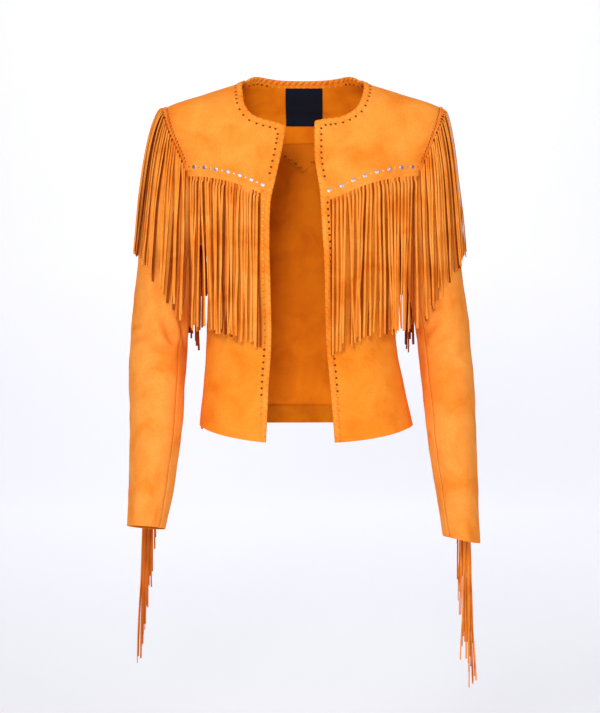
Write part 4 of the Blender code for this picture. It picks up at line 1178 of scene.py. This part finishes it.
# The prongs on the inner side get a dark, dull copy of the stud metal: painted shade.
prong_painted_shade = plain_material("prongs in painted shade", (0.16, 0.07, 0.03), 0.6, metallic=0.5)
STUD_PITCH, STUD_RISE = 18.4, 6.0
SMALL_PRONG, LARGE_PRONG = 1.0, 1.9
LARGE_STUD = ((3.5, 0.1, 0), (3.45, 0.6, 0), (3.0, 0.95, 0), (2.0, 1.15, 0), (0.8, 1.24, 0), (0.0, 1.26, 0))
SMALL_STUD = ((2.0, 0.1, 0), (1.95, 0.5, 0), (1.5, 0.8, 0), (0.7, 0.92, 0), (0.0, 0.94, 0))
FOLDED_PRONG = ((0.9, 0.0, 1), (0.8, 0.45, 1), (0.0, 0.55, 1))
STUD_ROWS = (
    # yoke line, first distance, last distance, at the front
    (FRONT_YOKE_LINE, -55.5, -166.0, True),
    (FRONT_YOKE_LINE, 36.0, 166.0, True),
    (BACK_YOKE_LINE, -4.0, -176.0, False),
    (BACK_YOKE_LINE, 14.4, 176.0, False),
)
vertices, faces, kinds = [], [], []
for line, first, last, front in STUD_ROWS:
    row = []
    for k in range(121):
        x = mix(first, last, k / 120)
        row.append((x, profile(line, 1, abs(x)) + STUD_RISE))
    places = spaced(as_angles([row], front)[0], STUD_PITCH / 2)
    for k, place in enumerate(places):
        point, normal = body_point(*place), body_normal(*place)
        shape = SMALL_STUD if k % 2 else LARGE_STUD
        add_lathe(vertices, faces, kinds, point + normal * 0.35, normal, shape, sides=18)
        across = normal.cross(DOWN).normalized() * (SMALL_PRONG if k % 2 else LARGE_PRONG)
        for step in (-across, across):
            inner = point + step - normal * (WALL - 0.05)
            add_lathe(vertices, faces, kinds, inner, -normal, FOLDED_PRONG, sides=8, stretch=1.6)
mesh_piece("studs", vertices, faces, (metal, prong_painted_shade), kinds)

# Armhole lacing: a thin lace crosses over each armhole seam in small crosses, from the top
# of the shoulder down the front of the yoke.

CROSS_PITCH, CROSS_HALF, CROSS_RADIUS = 5.2, 2.4, 0.65
# Needle holes: dark discs of painted shade.
NEEDLE_HOLE = ((1.0, 0.05, 1), (0.0, 0.1, 1))


def add_thread(vertices, faces, path, radius, sides=6):
    """Round thread along a path of points."""
    first = len(vertices)
    for k, centre in enumerate(path):
        run = (path[min(len(path) - 1, k + 1)] - path[max(0, k - 1)]).normalized()
        across = run.orthogonal().normalized()
        over = run.cross(across)
        for i in range(sides):
            turn = 2 * math.pi * i / sides
            vertices.append(centre + (across * math.cos(turn) + over * math.sin(turn)) * radius)
    faces += tube_faces(first, len(path), sides)


for side in (RIGHT, LEFT):
    places = spaced([armhole_place(side, math.radians(k)) for k in range(0, 100, 2)], CROSS_PITCH)
    vertices, faces, kinds = [], [], []
    for k in range(len(places) - 1):
        a, b = [body_point(*place) for place in places[k:k + 2]]
        normal = body_normal(*places[k])
        run = (b - a).normalized()
        across = normal.cross(run).normalized() * CROSS_HALF
        lift = normal * 1.7 + Vector((side, 0, 0)) * 0.8
        for sign, over in ((1, 0.0), (-1, 0.7)):
            ends = (a - across * sign, b + across * sign)
            path = [ends[0].lerp(ends[1], t) + lift * (0.35 + math.sin(math.pi * t) * 0.65)
                    + normal * over * math.sin(math.pi * t) for t in (0, 0.2, 0.4, 0.6, 0.8, 1)]
            add_thread(vertices, faces, path, CROSS_RADIUS)
            kinds += [0] * (len(faces) - len(kinds))
        hole = a - across * (1.3 if across.x * side > 0 else -1.3)
        add_lathe(vertices, faces, kinds, hole + normal * 0.4, normal, NEEDLE_HOLE, sides=8)
    mesh_piece("armhole_lacing_" + SIDE_NAMES[side], vertices, faces, (yoke_suede, hole_painted_shade), kinds)

# Inside: the neck facing and the hem turned up, both of the same suede, with the turned hem in a darker
# copy that is painted shade, and on the facing a bare woven label.

facing_suede = suede("facing suede", (0.97, 0.275, 0.005), (0.92, 0.24, 0.004), (0.82, 0.19, 0.003), 0.6)
FACING_INSET, FACING_BOTTOM, FACING_HALF_WIDTH = 1.0, -77.0, 104


def facing_side(side, share):
    """Side edge of the facing, from its corner at the shoulder down."""
    start = shoulder + FACING_INSET
    z = mix(shoulder_height(start) - FACING_INSET, FACING_BOTTOM, share)
    return side * mix(start, FACING_HALF_WIDTH, share), z


grid = patch(
    lambda s: back_neck(s, EDGE_INSET + FACING_INSET),
    lambda s: (mix(FACING_HALF_WIDTH, -FACING_HALF_WIDTH, s), FACING_BOTTOM + 1.5 * math.sin(5 * s)),
    lambda t: facing_side(LEFT, t),
    lambda t: facing_side(RIGHT, t),
    columns=60, rows=24,
)
points, normals = behind(as_angles(grid, False), 2.2)
facing = cloth_piece("neck_facing_cloth", points, normals, facing_suede, facing_suede,
                     wall=1.2)
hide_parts("back_neck_facing")

label_cloth, nodes, links, label_shader = new_material("bare label", 0.85)
label_shader.inputs["Specular IOR Level"].default_value = 0.2
place = nodes.new("ShaderNodeTexCoord")
weave = nodes.new("ShaderNodeTexWave")
weave.inputs["Scale"].default_value = 420
weave.bands_direction = "DIAGONAL"
links.new(place.outputs["Object"], weave.inputs["Vector"])
tone = nodes.new("ShaderNodeValToRGB")
tone.color_ramp.elements[0].color = (0.002, 0.003, 0.007, 1)
tone.color_ramp.elements[1].color = (0.006, 0.009, 0.022, 1)
links.new(weave.outputs["Fac"], tone.inputs["Fac"])
links.new(tone.outputs["Color"], label_shader.inputs["Base Color"])
ribs = nodes.new("ShaderNodeBump")
ribs.inputs["Strength"].default_value = 0.4
ribs.inputs["Distance"].default_value = 0.0004
links.new(weave.outputs["Fac"], ribs.inputs["Height"])
links.new(ribs.outputs["Normal"], label_shader.inputs["Normal"])

LABEL_TOP, LABEL_BOTTOM = 3.0, -50.0
LABEL_LEFT, LABEL_RIGHT_TOP, LABEL_RIGHT_BOTTOM = 29, -26, -25
grid = patch(
    lambda s: (mix(LABEL_LEFT, LABEL_RIGHT_TOP, s), LABEL_TOP),
    lambda s: (mix(LABEL_LEFT, LABEL_RIGHT_BOTTOM, s), LABEL_BOTTOM),
    lambda t: (LABEL_LEFT, mix(LABEL_TOP, LABEL_BOTTOM, t)),
    lambda t: (mix(LABEL_RIGHT_TOP, LABEL_RIGHT_BOTTOM, t), mix(LABEL_TOP, LABEL_BOTTOM, t)),
    columns=24, rows=24,
)
points, normals = behind(as_angles(grid, False), 3.9)
label = cloth_piece("label_cloth", points, normals, label_cloth, label_cloth,
                    wall=0.7, round_edge=0.15)
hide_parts("label")

TURNUP, TURNUP_LOW, TURNUP_FROM, TURNUP_TO = 27.0, 0.3, 0.02, 0.98


def turnup_place(share, up):
    angle, z = back_hem(share)
    return angle, z + up


grid = patch(
    lambda s: turnup_place(mix(TURNUP_FROM, TURNUP_TO, s), TURNUP),
    lambda s: turnup_place(mix(TURNUP_FROM, TURNUP_TO, s), TURNUP_LOW),
    lambda t: turnup_place(TURNUP_FROM, mix(TURNUP, TURNUP_LOW, t)),
    lambda t: turnup_place(TURNUP_TO, mix(TURNUP, TURNUP_LOW, t)),
    columns=90, rows=8,
)
points, normals = behind(grid, 2.0)
# The turned hem is the same suede made darker: painted shade inside the jacket.
turned_hem_painted_shade = suede("turned hem in painted shade", (0.66, 0.185, 0.004), (0.60, 0.155, 0.003), (0.52, 0.13, 0.002), 0.6)
turnup = cloth_piece("hem_turnup_cloth", points, normals, turned_hem_painted_shade, turned_hem_painted_shade,
                     wall=1.2)
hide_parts("back_hem_turnup")

# Stitching: one row of fine thread holds up the hem all round. Each sleeve's front seam and
# each side seam shows as a fine dark line, painted shade where the cloth turns in.

FRONT_TURNUP, STITCH = 18.0, 1.8
thread = plain_material("sewing thread", (0.72, 0.20, 0.015), 0.7)
vertices, faces, rows = [], [], []
for side in (RIGHT, LEFT):
    first = front_place(side, front_edge(side, HEM_SIDE, HOLE_INSET))[0]
    angles = [mix(first, side * SIDE_SEAM_AT_HEM, k / 30) for k in range(31)]
    rows.append([(a, hem_height(a) + FRONT_TURNUP) for a in angles])
rows.append([(a, hem_height(a) + TURNUP - 2) for a in (back_hem(k / 80)[0] for k in range(81))])
for row in rows:
    places = spaced(row, STITCH)
    for a, b in zip(places[::2], places[1::2]):
        start, end = lifted(a, 0.12), lifted(b, 0.12)
        add_thread(vertices, faces, [start, start.lerp(end, 0.5), end], radius=0.24, sides=4)
mesh_piece("hem_stitches", vertices, faces, (thread,))
for side in (RIGHT, LEFT):
    vertices, faces, path = [], [], []
    for k in range(120):
        place = mix(0.5, 1.995, k / 119)
        turn = sleeve_turn(side, FRONT_SEAM, place)
        path.append(sleeve_point(side, turn, place) + sleeve_normal(side, turn, place) * 0.1)
    add_thread(vertices, faces, path, radius=0.5, sides=5)
    path = [lifted(side_place(side, mix(0.08, 0.995, k / 60)), 0.05) for k in range(61)]
    add_thread(vertices, faces, path, radius=0.35, sides=5)
    mesh_piece("seam_lines_" + SIDE_NAMES[side], vertices, faces, (cut_edge_and_groove_shade,))

# Floor, light and camera: a pale sweep and soft lights, seen from the front at chest height.

bpy.context.scene.view_settings.view_transform = "Standard"

FLOOR, FLOOR_FRONT, BEND_START, BEND_RADIUS = -1.10, -4.0, 3.6, 0.9
WALL_TOP, SWEEP_HALF_WIDTH = 3.6, 4.5
floor_mesh = bpy.data.meshes.new("studio_sweep")
sweep = [(FLOOR_FRONT, FLOOR)]
for k in range(13):
    turn = QUARTER * k / 12
    sweep.append((BEND_START + BEND_RADIUS * math.sin(turn), FLOOR + BEND_RADIUS * (1 - math.cos(turn))))
sweep.append((BEND_START + BEND_RADIUS, WALL_TOP))
floor_mesh.from_pydata(
    [(x, y, z) for y, z in sweep for x in (-SWEEP_HALF_WIDTH, SWEEP_HALF_WIDTH)], [],
    [(2 * k, 2 * k + 1, 2 * k + 3, 2 * k + 2) for k in range(len(sweep) - 1)],
)
floor_mesh.shade_smooth()
floor = bpy.data.objects.new("studio_sweep", floor_mesh)
bpy.context.scene.collection.objects.link(floor)
paper = plain_material("pale paper", (0.84, 0.84, 0.88), 0.9)
paper_inputs = paper.node_tree.nodes["Principled BSDF"].inputs
paper_inputs["Emission Color"].default_value = (0.94, 0.94, 1.0, 1)
paper_inputs["Emission Strength"].default_value = 0.33
floor_mesh.materials.append(paper)
floor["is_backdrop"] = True

LIGHTS = (
    # name, place, size, watts, aimed at
    ("front", (-0.30, -3.2, 0.40), 0.7, 45, (0, 0, -0.3)),
    ("key", (-1.7, -2.2, 1.4), 0.9, 22, (0, 0, -0.3)),
    ("fill", (1.9, -2.2, 1.2), 0.9, 18, (0, 0, -0.3)),
    ("top", (0.0, -0.3, 2.0), 1.6, 10, (0, 0, -0.2)),
    ("backdrop", (0.0, 2.6, 1.9), 2.4, 26, (0, 4.4, -0.2)),
)
for name, place, size, watts, target in LIGHTS:
    lamp = bpy.data.lights.new(name, "AREA")
    lamp.shape = "DISK"
    lamp.size = size
    lamp.energy = watts
    light = bpy.data.objects.new(name, lamp)
    light.location = place
    light.rotation_euler = (Vector(target) - Vector(place)).to_track_quat("-Z", "Y").to_euler()
    bpy.context.scene.collection.objects.link(light)

world = bpy.data.worlds.new("soft room")
world.use_nodes = True
world.node_tree.nodes["Background"].inputs["Color"].default_value = (0.95, 0.96, 1.0, 1)
world.node_tree.nodes["Background"].inputs["Strength"].default_value = 0.24
bpy.context.scene.world = world

CAMERA_PLACE, CAMERA_LENS, CAMERA_DIP = (-0.0043, -2.4, -0.285), 84.1, 2.485
camera_data = bpy.data.cameras.new("camera")
camera_data.lens = CAMERA_LENS
camera = bpy.data.objects.new("camera", camera_data)
camera.location = CAMERA_PLACE
camera.rotation_euler = (math.radians(90 - CAMERA_DIP), 0, 0)
bpy.context.scene.collection.objects.link(camera)
bpy.context.scene.camera = camera

low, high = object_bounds()
